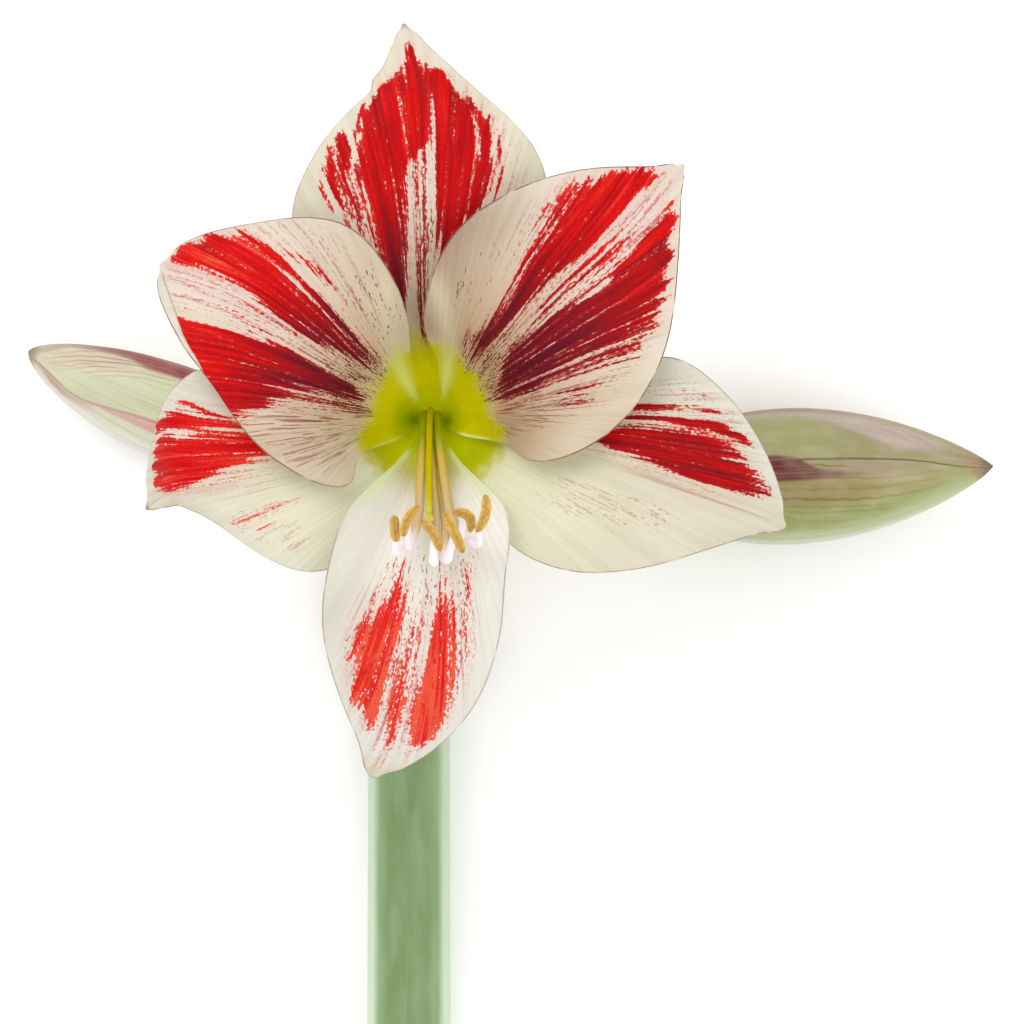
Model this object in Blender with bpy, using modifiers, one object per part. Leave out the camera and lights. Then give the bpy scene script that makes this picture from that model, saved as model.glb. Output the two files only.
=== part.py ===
"""A cut amaryllis stem, lying on a table: one open bloom that faces up, two buds and a hollow scape.

Sizes in the tables are millimetres and degrees. The frame has +Z up, +Y from the cut end towards the bloom,
and its origin on the table, under the head of the scape.
"""

import math

import bpy
import numpy as np
from mathutils import Matrix, Vector

MM = 0.001
GAP = 0.3  # between pieces that touch on the plant

# Scape: the hollow flower stalk, thicker towards its cut end, with its lowest facet flat on the table
SCAPE_SIDES = 24
SCAPE_HEAD = 8.0  # how far the scape runs on past the origin
SCAPE_LENGTH = 298.0
SCAPE_SHOULDER = 4.0  # its head is rounded over this length
SCAPE_HEAD_RADIUS = 10.75  # to the middle of a facet
SCAPE_CUT_RADIUS = 11.9
SCAPE_TOP_RADIUS = 8.9  # the flat top where the stalks grow
SCAPE_BORE_HEAD, SCAPE_BORE_CUT = 7.2, 8.0
SCAPE_SOLID_HEAD = 22.0  # the bore ends this far below the top

# Bloom: its axis is upright over the table, at this place
BLOOM_X, BLOOM_Y = 6.5, 40.6
OVARY_FOOT, OVARY_TOP = 36.0, 50.0
TUBE_FOOT = OVARY_TOP + GAP
THROAT = 64.0  # height of the tube's rim, where the tepals begin
TUBE_RIM_OUTER, TUBE_RIM_INNER = 9.1, 5.9
TUBE_FOOT_RADIUS = 5.6
TUBE_FLOOR = TUBE_FOOT + 1.6

TEPAL_THICKNESS = 0.9
TEPAL_ROWS, TEPAL_COLUMNS = 15, 8

# The two rings of tepals follow a funnel: mouth is its radius at the rim, rise how far it climbs in all,
# and flare the distance over which it levels out.
OUTER_RING = {"mouth": 8.2, "rise": 46.0, "flare": 15.5}
INNER_RING = {"mouth": 6.8, "rise": 50.0, "flare": 14.0}

# Each tepal: rows from base to tip of (distance from the bloom's axis, drop below the funnel, and the turns
# of one edge, the midrib and the other edge round the axis, from +X). cup lifts its margins, groove sinks its
# midrib, wave ripples its margins this many times.
TEPALS = {
    "tepal_top": {
        "ring": OUTER_RING,
        "rows": [
            (8.2, 0, 61, 92, 119),
            (13, 0, 60, 92.5, 120),
            (25, 0, 58, 92.8, 123),
            (44, 0, 57.5, 91.5, 127),
            (59, 0, 59.5, 91.3, 125),
            (71, 0, 67.2, 91.6, 113.5),
            (82, 1.5, 81, 92.1, 100.6),
            (91, 4, 88.8, 92.9, 96.2),
            (98.3, 8, 92.7, 93.5, 94.1),
        ],
        "cup": -3.0,
        "groove": 1.2,
        "wave": (0.6, 3, 0.4),
    },
    "tepal_upper_right": {
        "ring": INNER_RING,
        "rows": [
            (6.8, 0, -25, 30, 56),
            (11, 0, -26, 34, 74),
            (20, 0, -21, 38.7, 91),
            (29, 0, -24, 40.5, 90.5),
            (44, 0, -8, 42, 82.5),
            (58, 0, 10.2, 42, 70.2),
            (71, 0.5, 28.6, 42.3, 58.6),
            (82, 2, 39.4, 43.2, 48.8),
            (89.3, 5, 43.4, 44.1, 45),
        ],
        "cup": 2.2,
        "groove": 1.4,
        "wave": (0.7, 3, 1.9),
    },
    "tepal_upper_left": {
        "ring": INNER_RING,
        "rows": [
            (6.8, 0, 124, 151, 211),
            (11, 0, 111, 150, 213),
            (20, 0, 103.5, 149, 211),
            (27, 0, 102, 148.2, 221.5),
            (39, 0, 105.7, 147.2, 198),
            (52, 0, 114.2, 147.4, 174.9),
            (64, 1.5, 131.9, 149, 163.8),
            (73, 6, 142.8, 150.4, 156.5),
            (77, 13, 149, 150.7, 152),
        ],
        "cup": 2.2,
        "groove": 1.4,
        "wave": (0.7, 3, 3.4),
    },
    "tepal_lower_left": {
        "ring": OUTER_RING,
        "rows": [
            (8.2, 0, 182, 211, 236),
            (13, 0, 178, 210.5, 237),
            (25, 0, 171, 207.5, 240),
            (40, 0, 168, 202, 241.3),
            (50, 0, 167, 199.8, 232),
            (58.5, 1.5, 169, 198.4, 209.4),
            (65.3, 6, 175.5, 197.3, 201),
            (70.2, 13, 186, 197.3, 199.4),
            (75.4, 20, 197.6, 198.2, 198.9),
        ],
        "cup": -2.5,
        "groove": 1.6,
        "wave": (0.6, 3, 0.9),
    },
    "tepal_lower_right": {
        "ring": OUTER_RING,
        "rows": [
            (8.2, 0, -56, -27, -2),
            (13, 0, -57, -22, 2),
            (25, 0, -60, -17.8, 7),
            (39, 0, -57.4, -16.3, 12),
            (52, 0, -48.6, -16, 14.2),
            (64, 0.5, -37.6, -16.4, 12.6),
            (76, 2.5, -27.2, -16.8, 3),
            (87, 7, -20.4, -17.1, -8),
            (94.4, 12, -18.2, -17.3, -16.4),
        ],
        "cup": -2.5,
        "groove": 1.6,
        "wave": (0.6, 3, 2.4),
    },
    "tepal_bottom": {
        "ring": INNER_RING,
        "rows": [
            (6.8, 0, 242, 270, 298),
            (11, 0, 238, 270.5, 302),
            (20, 0, 232, 270.3, 308),
            (31, 0.5, 230.4, 269.4, 309.2),
            (45, 2, 236.8, 268, 295.8),
            (59, 5, 243.6, 266.4, 287.8),
            (73, 10, 252, 264.8, 279.8),
            (84, 17, 257.8, 263.4, 271.4),
            (92.7, 24, 260, 261.4, 262.8),
        ],
        "cup": 1.6,
        "groove": 1.0,
        "wave": (0.5, 3, 4.6),
    },
}

# Stamens: a sheaf of six filaments runs out along the lowest tepal, fans out, and turns up at its end,
# where each anther sits across its filament.
STAMENS = [
    {
        "foot": (-1.75, -1.2),  # its place in the sheaf: sideways, and above the middle
        "fan": -2.7,  # sideways again, where the sheaf ends
        "hook": (-7.4, -34.4, 120.0),  # where the filament turns up and back
        "end": (-7.2, -28.6, 128.5),
        "anther": (-7.4, -28.6, 95, 6.4, 0.3),  # its middle, its turn, its length, and how far it bows
    },
    {
        "foot": (-1.55, 1.15),
        "fan": -1.9,
        "hook": (-4.3, -33.2, 121.5),
        "end": (-4.4, -26.4, 131.5),
        "anther": (-3.6, -26.8, 63, 8.4, 1.0),
    },
    {
        "foot": (0.0, 0.0),
        "fan": 2.2,
        "hook": (1.8, -36.8, 120.5),
        "end": (1.8, -29.9, 130.0),
        "anther": (1.2, -30.3, 122, 9.0, -0.8),
    },
    {
        "foot": (0.0, -2.05),
        "fan": 4.4,
        "hook": (4.9, -36.2, 121.0),
        "end": (6.9, -29.6, 132.0),
        "anther": (6.9, -29.6, 115, 11.1, -0.2),
    },
    {
        "foot": (1.78, 1.03),
        "fan": 5.6,
        "hook": (8.2, -31.2, 118.0),
        "end": (9.1, -24.9, 127.5),
        "anther": (8.7, -27.1, 132, 6.4, -2.4),
    },
    {
        "foot": (1.78, -1.03),
        "fan": 6.9,
        "hook": (12.4, -32.4, 121.5),
        "end": (13.1, -28.4, 131.0),
        "anther": (13.5, -24.8, 77, 9.4, -1.2),
    },
]
# The middle of the sheaf: (along Y from the bloom's axis, height, how far the fan has opened)
SHEAF = [
    (0.0, 58.0, 0.0),
    (-1.0, 66.0, 0.0),
    (-4.2, 77.0, 0.12),
    (-9.8, 89.5, 0.3),
    (-17.5, 101.0, 0.6),
    (-26.0, 110.0, 1.0),
]
FILAMENT_RADIUS = 0.8
ANTHER_RADIUS = 1.25
ANTHER_DROOP = 0.9  # how far an anther's ends bend back from its middle
STYLE_RADIUS = 0.88
STYLE_LIFT = 2.05  # the style lies on top of the sheaf
STYLE_END = (0.5, -25.0, 114.0)
STIGMA_RADIUS = 1.3
STIGMA_RINGS = [(0, 0.6, 0), (0.8, 1.0, 0.1), (1.6, 1.0, 0.32), (2.3, 0.8, 0.36), (2.7, 0.4, 0.2)]

# Buds: base and tip of the axis before the bud is set down on the table, how far the axis bends, widest
# radius, how blunt the tip is, turn of a seam round the axis, the way of its stalk, length of its ovary
BUDS = {
    "bud_left": {
        "base": (-27.3, 30.0, 12.3),
        "tip": (-102.0, 59.3, 14.1),
        "bend": -1.2,
        "girth": 13.3,
        "blunt": 0.60,
        "seam": -20.0,
        "stalk": [(-4.7, 8.3, 8.6), (-4.7, 10.5, 8.6), (-5.2, 15.3, 8.9), (-8.0, 20.7, 9.8)],
        "ovary": 13.0,
    },
    "bud_right": {
        "base": (62.0, 24.6, 17.25),
        "tip": (156.2, 28.4, 20.05),
        "bend": 0.95,
        "girth": 18.2,
        "blunt": 0.77,
        "seam": -15.0,
        "stalk": [
            (4.9, 8.3, 8.6),
            (4.9, 10.5, 8.6),
            (7.0, 15.8, 8.9),
            (13.5, 20.9, 10.0),
            (26.0, 23.9, 12.6),
        ],
        "ovary": 17.0,
    },
}
BUD_WIDEST = 0.58  # share of the length from the tip
BUD_NECK = 0.34  # radius at the base, as a share of the widest
BUD_LOBES = 0.025
BUD_ROWS, BUD_ARC = 14, 6
BUD_SHELL = (0.90, 0.6)  # the inner tepals fill this share of the radius, less this much
BUD_CORE_END = 0.93

STALK_RADIUS = 3.4
BLOOM_STALK = [(0.2, 8.3, 14.6), (0.2, 10.5, 14.6), (1.4, 19.0, 15.0), (4.0, 30.5, 17.6), (6.3, 39.0, 25.5)]

# Spathe valves: the two withered bracts that once wrapped the buds, folded back along the scape.
# Rows from base to tip: (sideways from the scape's axis, along, height, half width)
SPATHE_ROWS = [
    (11.55, 4.0, 10.8, 7.6),
    (13.4, -3.0, 10.9, 8.0),
    (15.2, -13.0, 10.8, 6.8),
    (15.6, -23.0, 10.2, 4.4),
    (14.2, -32.0, 9.6, 0.9),
]
SPATHE_CUP = 2.2
SPATHE_THICKNESS = 0.7


def clear_scene():
    for obj in list(bpy.data.objects):
        bpy.data.objects.remove(obj)


def make_material(name, colour, roughness):
    material = bpy.data.materials.new(name)
    material.use_nodes = True
    shader = material.node_tree.nodes["Principled BSDF"]
    shader.inputs["Base Color"].default_value = (*colour, 1.0)
    shader.inputs["Roughness"].default_value = roughness
    shader.inputs["Metallic"].default_value = 0.0
    return material


def along(rows, share):
    """The row at a share of the way through a list of rows, on a Catmull-Rom curve."""
    place = share * (len(rows) - 1)
    i = min(int(place), len(rows) - 2)
    f = place - i
    last = len(rows) - 1
    before, here, after, beyond = (
        np.array(rows[k], float) for k in (max(i - 1, 0), i, i + 1, min(i + 2, last))
    )
    return 0.5 * (
        2 * here
        + (after - before) * f
        + (2 * before - 5 * here + 4 * after - beyond) * f**2
        + (3 * here - before - 3 * after + beyond) * f**3
    )


def add_object(name, data, material, parent=None):
    obj = bpy.data.objects.new(name, data)
    obj.data.materials.append(material)
    PLANT.objects.link(obj)
    obj.parent = parent
    return obj


def add_empty(name, matrix):
    empty = bpy.data.objects.new(name, None)
    empty.matrix_world = matrix
    PLANT.objects.link(empty)
    return empty


def mesh_from(name, points, faces, smooth_under=40):
    mesh = bpy.data.meshes.new(name)
    mesh.from_pydata([Vector(p) * MM for p in points], [], faces)
    mesh.shade_smooth()
    mesh.set_sharp_from_angle(angle=math.radians(smooth_under))
    return mesh


def blade(name, point_at, rows, columns, thickness, material, parent=None):
    """A leaf-like sheet over a grid of triangles, thickened to both sides."""
    points = [
        point_at(r / rows, 2 * c / columns - 1) for r in range(rows + 1) for c in range(columns + 1)
    ]
    faces = []
    for r in range(rows):
        for c in range(columns):
            a = r * (columns + 1) + c
            b, d, e = a + 1, a + columns + 1, a + columns + 2
            faces += [(a, b, e), (a, e, d)]
    obj = add_object(name, mesh_from(name, points, faces), material, parent)
    solidify = obj.modifiers.new("thickness", "SOLIDIFY")
    solidify.thickness = thickness * MM
    solidify.offset = 0.0
    return obj


def stalk(name, route, radii, material, parent=None, points=10, sides_step=2):
    """A round stalk along a smooth route, straight at both ends, with a radius that changes along it."""
    curve = bpy.data.curves.new(name, "CURVE")
    curve.dimensions = "3D"
    curve.bevel_depth = MM
    curve.bevel_resolution = sides_step
    curve.use_fill_caps = True
    middle = [along(route[1:-1], i / (points - 3)) for i in range(points - 2)]
    spline = curve.splines.new("POLY")
    spline.points.add(points - 1)
    for i, (point, place) in enumerate(zip(spline.points, [route[0], *middle, route[-1]])):
        point.co = (*(Vector(place) * MM), 1.0)
        point.radius = float(along(radii, i / (points - 1))[0])
    return add_object(name, curve, material, parent)


def turned(name, profile, sides, material, parent=None):
    """A turned solid from (radius, height) points that run from axis to axis, clockwise."""
    mesh = bpy.data.meshes.new(name)
    edges = [(i, i + 1) for i in range(len(profile) - 1)]
    mesh.from_pydata([(r * MM, 0, z * MM) for r, z in profile], edges, [])
    obj = add_object(name, mesh, material, parent)
    screw = obj.modifiers.new("turn", "SCREW")
    screw.axis = "Z"
    screw.steps = screw.render_steps = sides
    screw.use_merge_vertices = True
    screw.merge_threshold = 0.00001
    screw.use_smooth_shade = True
    return obj


def lofted(name, rings, material, parent=None):
    """A closed solid through rings of points, all with as many points, capped at both ends."""
    count = len(rings[0])
    points = [p for ring in rings for p in ring]
    faces = [tuple(reversed(range(count)))]
    for r in range(len(rings) - 1):
        for c in range(count):
            a, b = r * count + c, r * count + (c + 1) % count
            faces += [(a, b, b + count), (a, b + count, a + count)]
    faces.append(tuple(range((len(rings) - 1) * count, len(rings) * count)))
    return add_object(name, mesh_from(name, points, faces), material, parent)


def lobed_ring(radius, height, lobes, sides=18):
    """A ring round the Z axis, three-lobed as an ovary is."""
    ring = []
    for k in range(sides):
        turn = 2 * math.pi * k / sides
        reach = radius * (1 + lobes * math.cos(3 * turn))
        ring.append((reach * math.cos(turn), reach * math.sin(turn), height))
    return ring


def make_scape():
    """The hollow scape, turned about its own axis and laid so that one facet is flat on the table."""
    facet = math.cos(math.pi / SCAPE_SIDES)
    widening = SCAPE_CUT_RADIUS - SCAPE_HEAD_RADIUS
    straight = SCAPE_LENGTH - SCAPE_SHOULDER
    outer = [(0.0, 0.0), (SCAPE_TOP_RADIUS / facet, 0.0), ((SCAPE_HEAD_RADIUS - 0.4) / facet, -1.6)]
    outer += [
        ((SCAPE_HEAD_RADIUS + widening * share) / facet, -SCAPE_SHOULDER - share * straight)
        for share in (0.0, 0.33, 0.66, 1.0)
    ]
    bore = [
        (SCAPE_BORE_CUT, -SCAPE_LENGTH),
        (SCAPE_BORE_HEAD, -SCAPE_SOLID_HEAD - 6.0),
        (SCAPE_BORE_HEAD * 0.7, -SCAPE_SOLID_HEAD - 1.5),
        (0.0, -SCAPE_SOLID_HEAD),
    ]
    scape = turned("scape", outer + bore, SCAPE_SIDES, GREEN)
    taper = math.atan(widening / straight)
    lay_down = Matrix.Rotation(math.radians(-90) - taper, 4, "X")
    half_side = Matrix.Rotation(math.pi / SCAPE_SIDES, 4, "Z")
    height = SCAPE_HEAD_RADIUS * math.cos(taper) - SCAPE_SHOULDER * math.sin(taper)
    place = Matrix.Translation(Vector((0, SCAPE_HEAD, height)) * MM)
    scape.matrix_world = place @ lay_down @ half_side


def tepal_point(tepal, share, across):
    """A point of a tepal's middle surface: share runs from base to tip, across from -1 to 1."""
    ring = tepal["ring"]
    reach, drop, low, midrib, high = along(tepal["rows"], share)
    side = high - midrib if across > 0 else midrib - low
    turn = math.radians(midrib + side * across)
    climb = ring["rise"] * (1 - math.exp(-(reach - ring["mouth"]) / ring["flare"]))
    body = math.sin(math.pi * min(share, 0.96)) ** 0.8
    size, count, phase = tepal["wave"]
    shape = tepal["cup"] * across**2 - tepal["groove"] * math.exp(-((across / 0.22) ** 2))
    shape += size * math.sin(2 * math.pi * count * share + phase + 1.3 * across) * abs(across) ** 3
    height = THROAT + GAP + climb - drop + body * shape
    return Vector((reach * math.cos(turn), reach * math.sin(turn), height))


def make_bloom():
    centre = add_empty("bloom", Matrix.Translation(Vector((BLOOM_X, BLOOM_Y, 0)) * MM))
    for name, tepal in TEPALS.items():
        blade(
            name,
            lambda share, across, t=tepal: tepal_point(t, share, across),
            TEPAL_ROWS,
            TEPAL_COLUMNS,
            TEPAL_THICKNESS,
            CREAM,
            centre,
        )
    make_tube(centre)
    make_stamens(centre)
    make_ovary("bloom_ovary", OVARY_FOOT, OVARY_TOP, 5.6, 4.6, centre)
    foot = (BLOOM_X, BLOOM_Y, OVARY_FOOT - GAP)
    route = [*BLOOM_STALK, (BLOOM_X, BLOOM_Y, OVARY_FOOT - GAP - 2.5), foot]
    stalk("bloom_pedicel", route, [(STALK_RADIUS,), (STALK_RADIUS + 0.3,)], GREEN, points=14)


def make_tube(parent):
    """The short funnel in which the six tepals are joined, closed below by the ovary."""
    profile = [
        (0.0, TUBE_FLOOR),
        (3.25, TUBE_FLOOR),
        (4.4, THROAT - 7.0),
        (TUBE_RIM_INNER, THROAT),
        (TUBE_RIM_OUTER, THROAT - 0.2),
        (8.0, THROAT - 4.5),
        (6.4, THROAT - 10.0),
        (TUBE_FOOT_RADIUS, TUBE_FOOT),
        (0.0, TUBE_FOOT),
    ]
    turned("perianth_tube", profile, 24, LIME, parent)


def make_ovary(name, foot, top, radius, neck, parent, tube=0.0, mouth=0.0):
    """A three-lobed ovary up its parent's Z axis, with a tube of this length and mouth above it."""
    length = top - foot - tube
    rings = [lobed_ring(STALK_RADIUS, foot, 0.0)]
    for share, width in ((0.12, 0.82), (0.35, 1.0), (0.65, 1.0), (0.88, 0.9)):
        rings.append(lobed_ring(radius * width, foot + length * share, 0.09))
    rings.append(lobed_ring(neck, foot + length, 0.03))
    if tube:
        rings.append(lobed_ring((neck + mouth) / 2, top - tube * 0.45, 0.0))
        rings.append(lobed_ring(mouth, top, 0.0))
    lofted(name, rings, GREEN, parent)


def sheaf_route(place, fan, falls=0.15):
    """The way of one filament in the sheaf, from its foot in the tube towards its end."""
    sideways, above = place
    route = [Vector((sideways, above, TUBE_FLOOR + GAP))]
    for k, (forward, height, opened) in enumerate(SHEAF):
        here, after = SHEAF[max(k - 1, 0)], SHEAF[min(k + 1, len(SHEAF) - 1)]
        way = Vector((0, after[0] - here[0], after[1] - here[1])).normalized()
        lift = Vector((0, way.z, -way.y)) * above * (1 - falls * opened)
        aside = sideways + (fan - sideways) * opened
        route.append(Vector((aside, forward, height)) + lift)
    return route


def make_stamens(parent):
    for i, stamen in enumerate(STAMENS, start=1):
        hook, end = Vector(stamen["hook"]), Vector(stamen["end"])
        route = [*sheaf_route(stamen["foot"], stamen["fan"]), hook, end + Vector((0, -0.6, -2.0)), end]
        radii = [(FILAMENT_RADIUS,)] * 5 + [(FILAMENT_RADIUS * 0.85,), (FILAMENT_RADIUS * 0.6,)]
        stalk(f"filament_{i}", route, radii, WHITE, parent, points=19, sides_step=1)
        make_anther(f"anther_{i}", end, *stamen["anther"], parent)
    end = Vector(STYLE_END)
    style_route = sheaf_route((0.0, STYLE_LIFT), end.x, 0.0)[:-1]
    style_route += [end - Vector((0, -1.6, 1.6)), end]
    stalk("style", style_route, [(STYLE_RADIUS,), (STYLE_RADIUS * 0.8,)], LIME, parent, 13, 1)
    make_stigma(parent, style_route)


def make_anther(name, end, x, y, turn, length, bow, parent):
    """A bean over its filament's end, bowed sideways, with its two ends bent back from the viewer."""
    turn = math.radians(turn)
    way = Vector((math.cos(turn), math.sin(turn), 0))
    side = Vector((-way.y, way.x, 0))
    held_at = way.dot(end - Vector((x, y, end.z))) / (length / 2)
    middle = Vector((x, y, end.z + ANTHER_RADIUS + GAP + 0.05 + ANTHER_DROOP * held_at**2))
    route, radii = [], []
    for k in range(-4, 5):
        share = k / 4
        bend = side * bow * (1 - share**2) - Vector((0, 0, ANTHER_DROOP * share**2))
        route.append(middle + way * (share * length / 2) + bend)
        radii.append((max(ANTHER_RADIUS * (1 - abs(share) ** 3.5) ** 0.5, 0.35),))
    stalk(name, route, radii, POLLEN, parent, points=10, sides_step=1)


def make_stigma(parent, style_route):
    """The three-lobed stigma, on the end of the style."""
    last, end = style_route[-2], style_route[-1]
    way = (end - last).normalized()
    turn = way.to_track_quat("Z", "Y").to_matrix()
    rings = []
    for height, width, lobes in STIGMA_RINGS:
        ring = lobed_ring(STIGMA_RADIUS * width, height, lobes, 12)
        rings.append([end + way * GAP + turn @ Vector(p) for p in ring])
    lofted("stigma", rings, WHITE, parent)


def bud_radius(bud, share):
    """Radius of a bud at a share of its length from base to tip."""
    back = 1 - share
    if back < BUD_WIDEST:
        part = math.sin(math.pi / 2 * back / BUD_WIDEST) ** bud["blunt"]
    else:
        part = 1 - (1 - BUD_NECK) * ((back - BUD_WIDEST) / (1 - BUD_WIDEST)) ** 2.2
    return max(bud["girth"] * part, 0.7)


def core_radius(bud, share):
    part, less = BUD_SHELL
    return max(bud_radius(bud, share) * part - less, 0.25)


def bud_shares(rows):
    """Shares of a bud's length, closer together near its tip."""
    return [1 - (1 - r / rows) ** 1.5 for r in range(rows + 1)]


def bud_bend(bud, share):
    """How far a bud's axis lies to one side at this share of its length."""
    return bud["bend"] * math.sin(math.pi * min(share, 1.0)) ** 0.5


def bud_ring(bud, share, radii):
    """Points round a bud's bent axis, from (radius, turn) pairs."""
    length = (Vector(bud["tip"]) - Vector(bud["base"])).length
    across = bud_bend(bud, share)
    return [(r * math.cos(turn), r * math.sin(turn) + across, share * length) for r, turn in radii]


def bud_tepal_rings(bud, start):
    """One of a bud's three outer tepals: a third of its shell, from base to tip."""
    rings = []
    for share in bud_shares(BUD_ROWS):
        outer = bud_radius(bud, share)
        inner = core_radius(bud, share) + GAP + 0.1 if share < 0.5 + BUD_CORE_END / 2 else 0.35
        inner = min(inner, outer - 0.3)
        places = []
        for radius, order in ((outer, 1), (inner, -1)):
            edge = math.asin(GAP / 2 / radius)
            for turn in np.linspace(start + edge, start + 2 * math.pi / 3 - edge, BUD_ARC + 1)[::order]:
                lobe = 1 + BUD_LOBES * math.cos(3 * (turn - start) + math.pi) * (radius == outer)
                places.append((radius * lobe, turn))
        rings.append(bud_ring(bud, share, places))
    return rings


def make_bud(name, bud):
    """A bud whose underside rests on the table, with its ovary, tube and stalk."""
    base, tip = Vector(bud["base"]), Vector(bud["tip"])
    axis = (tip - base).normalized()
    up = (Vector((0, 0, 1)) - axis * axis.z).normalized()
    frame = Matrix((up, axis.cross(up), axis)).transposed()
    seams = [math.radians(bud["seam"] + 120 * k) for k in range(3)]
    shells = [bud_tepal_rings(bud, seam) for seam in seams]
    lowest = min((frame @ Vector(p)).z for rings in shells for ring in rings for p in ring)
    base.z = -lowest
    matrix = frame.to_4x4()
    matrix.translation = base * MM
    centre = add_empty(name, matrix)
    for k, rings in enumerate(shells, start=1):
        lofted(f"{name}_outer_tepal_{k}", rings, PALE, centre)
    turns = [seams[0] + 2 * math.pi * k / (3 * BUD_ARC) for k in range(3 * BUD_ARC)]
    rings = [
        bud_ring(bud, share, [(core_radius(bud, share), turn) for turn in turns])
        for share in bud_shares(BUD_ROWS)
        if share < BUD_CORE_END
    ]
    lofted(f"{name}_inner_tepals", rings, PALE, centre)
    mouth = bud["girth"] * BUD_NECK
    thick = bud["girth"] * 0.16 + 2.9
    make_ovary(f"{name}_ovary", -GAP - bud["ovary"], -GAP, thick, 4.2, centre, 5.0, mouth)
    foot = base - axis * (bud["ovary"] + 2 * GAP)
    route = [*(Vector(p) for p in bud["stalk"]), foot - axis * 3.0, foot]
    stalk(f"{name}_pedicel", route, [(STALK_RADIUS,), (STALK_RADIUS,)], GREEN, points=12)


def make_spathe(name, side):
    """A withered bract on one side of the scape: side is -1 for the left and 1 for the right."""

    def point_at(share, across):
        out, forward, height, half = along(SPATHE_ROWS, share)
        bend = SPATHE_CUP * across**2 * half / 8
        return Vector((side * (out - bend), forward, height + side * across * half))

    blade(name, point_at, 8, 4, SPATHE_THICKNESS, DRY)


clear_scene()
PLANT = bpy.data.collections.new("amaryllis")
bpy.context.scene.collection.children.link(PLANT)

GREEN = make_material("stem green", (0.36, 0.50, 0.26), 0.5)
LIME = make_material("throat lime", (0.62, 0.68, 0.08), 0.5)
CREAM = make_material("tepal cream", (0.90, 0.86, 0.76), 0.55)
PALE = make_material("bud green", (0.66, 0.72, 0.48), 0.5)
WHITE = make_material("filament white", (0.92, 0.88, 0.86), 0.5)
POLLEN = make_material("anther pollen", (0.78, 0.56, 0.22), 0.9)
DRY = make_material("spathe brown", (0.52, 0.42, 0.26), 0.8)

make_scape()
make_spathe("spathe_valve_left", -1)
make_spathe("spathe_valve_right", 1)
make_bloom()
for bud_name, bud_sizes in BUDS.items():
    make_bud(bud_name, bud_sizes)
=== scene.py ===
"""A cut amaryllis stem on a pale table: one open bloom with streaked tepals, two buds and a hollow scape."""

import math

import bpy
import numpy as np
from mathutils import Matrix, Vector, noise


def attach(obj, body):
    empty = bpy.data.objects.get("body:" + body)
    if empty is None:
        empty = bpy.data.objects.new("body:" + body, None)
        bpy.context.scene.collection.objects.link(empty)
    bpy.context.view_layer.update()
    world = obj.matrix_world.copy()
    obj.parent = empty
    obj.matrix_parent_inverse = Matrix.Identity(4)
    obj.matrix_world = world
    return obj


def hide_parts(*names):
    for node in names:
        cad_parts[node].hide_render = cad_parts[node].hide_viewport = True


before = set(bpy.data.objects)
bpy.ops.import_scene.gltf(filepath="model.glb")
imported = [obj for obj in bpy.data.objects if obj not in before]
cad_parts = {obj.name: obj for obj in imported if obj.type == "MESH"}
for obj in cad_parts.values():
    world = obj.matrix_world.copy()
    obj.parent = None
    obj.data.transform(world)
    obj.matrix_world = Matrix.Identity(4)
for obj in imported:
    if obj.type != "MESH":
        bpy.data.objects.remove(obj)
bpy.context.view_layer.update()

MM = 0.001
GAP = 0.3  # between neighbouring solids
LEVEL = 1.17  # how bright a white sheet that faces up is under the lights

# Places and sizes, in millimetres, as the solids have them
BLOOM_X, BLOOM_Y = 6.5, 40.6
BLOOM = np.array((BLOOM_X, BLOOM_Y, 0.0))
THROAT = 64.0
TEPAL_FOOT = 0.1  # the share of a tepal, below its base, that lines the tube
FAN_REACH, LOW_FAN_REACH = 42, 60  # how far out the fan of streak lines is true to size
TUBE_FLOOR, TUBE_FOOT = 51.9, 50.3
OUTER_RING = {"mouth": 8.2, "rise": 46.0, "flare": 15.5}
INNER_RING = {"mouth": 6.8, "rise": 50.0, "flare": 14.0}

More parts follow.
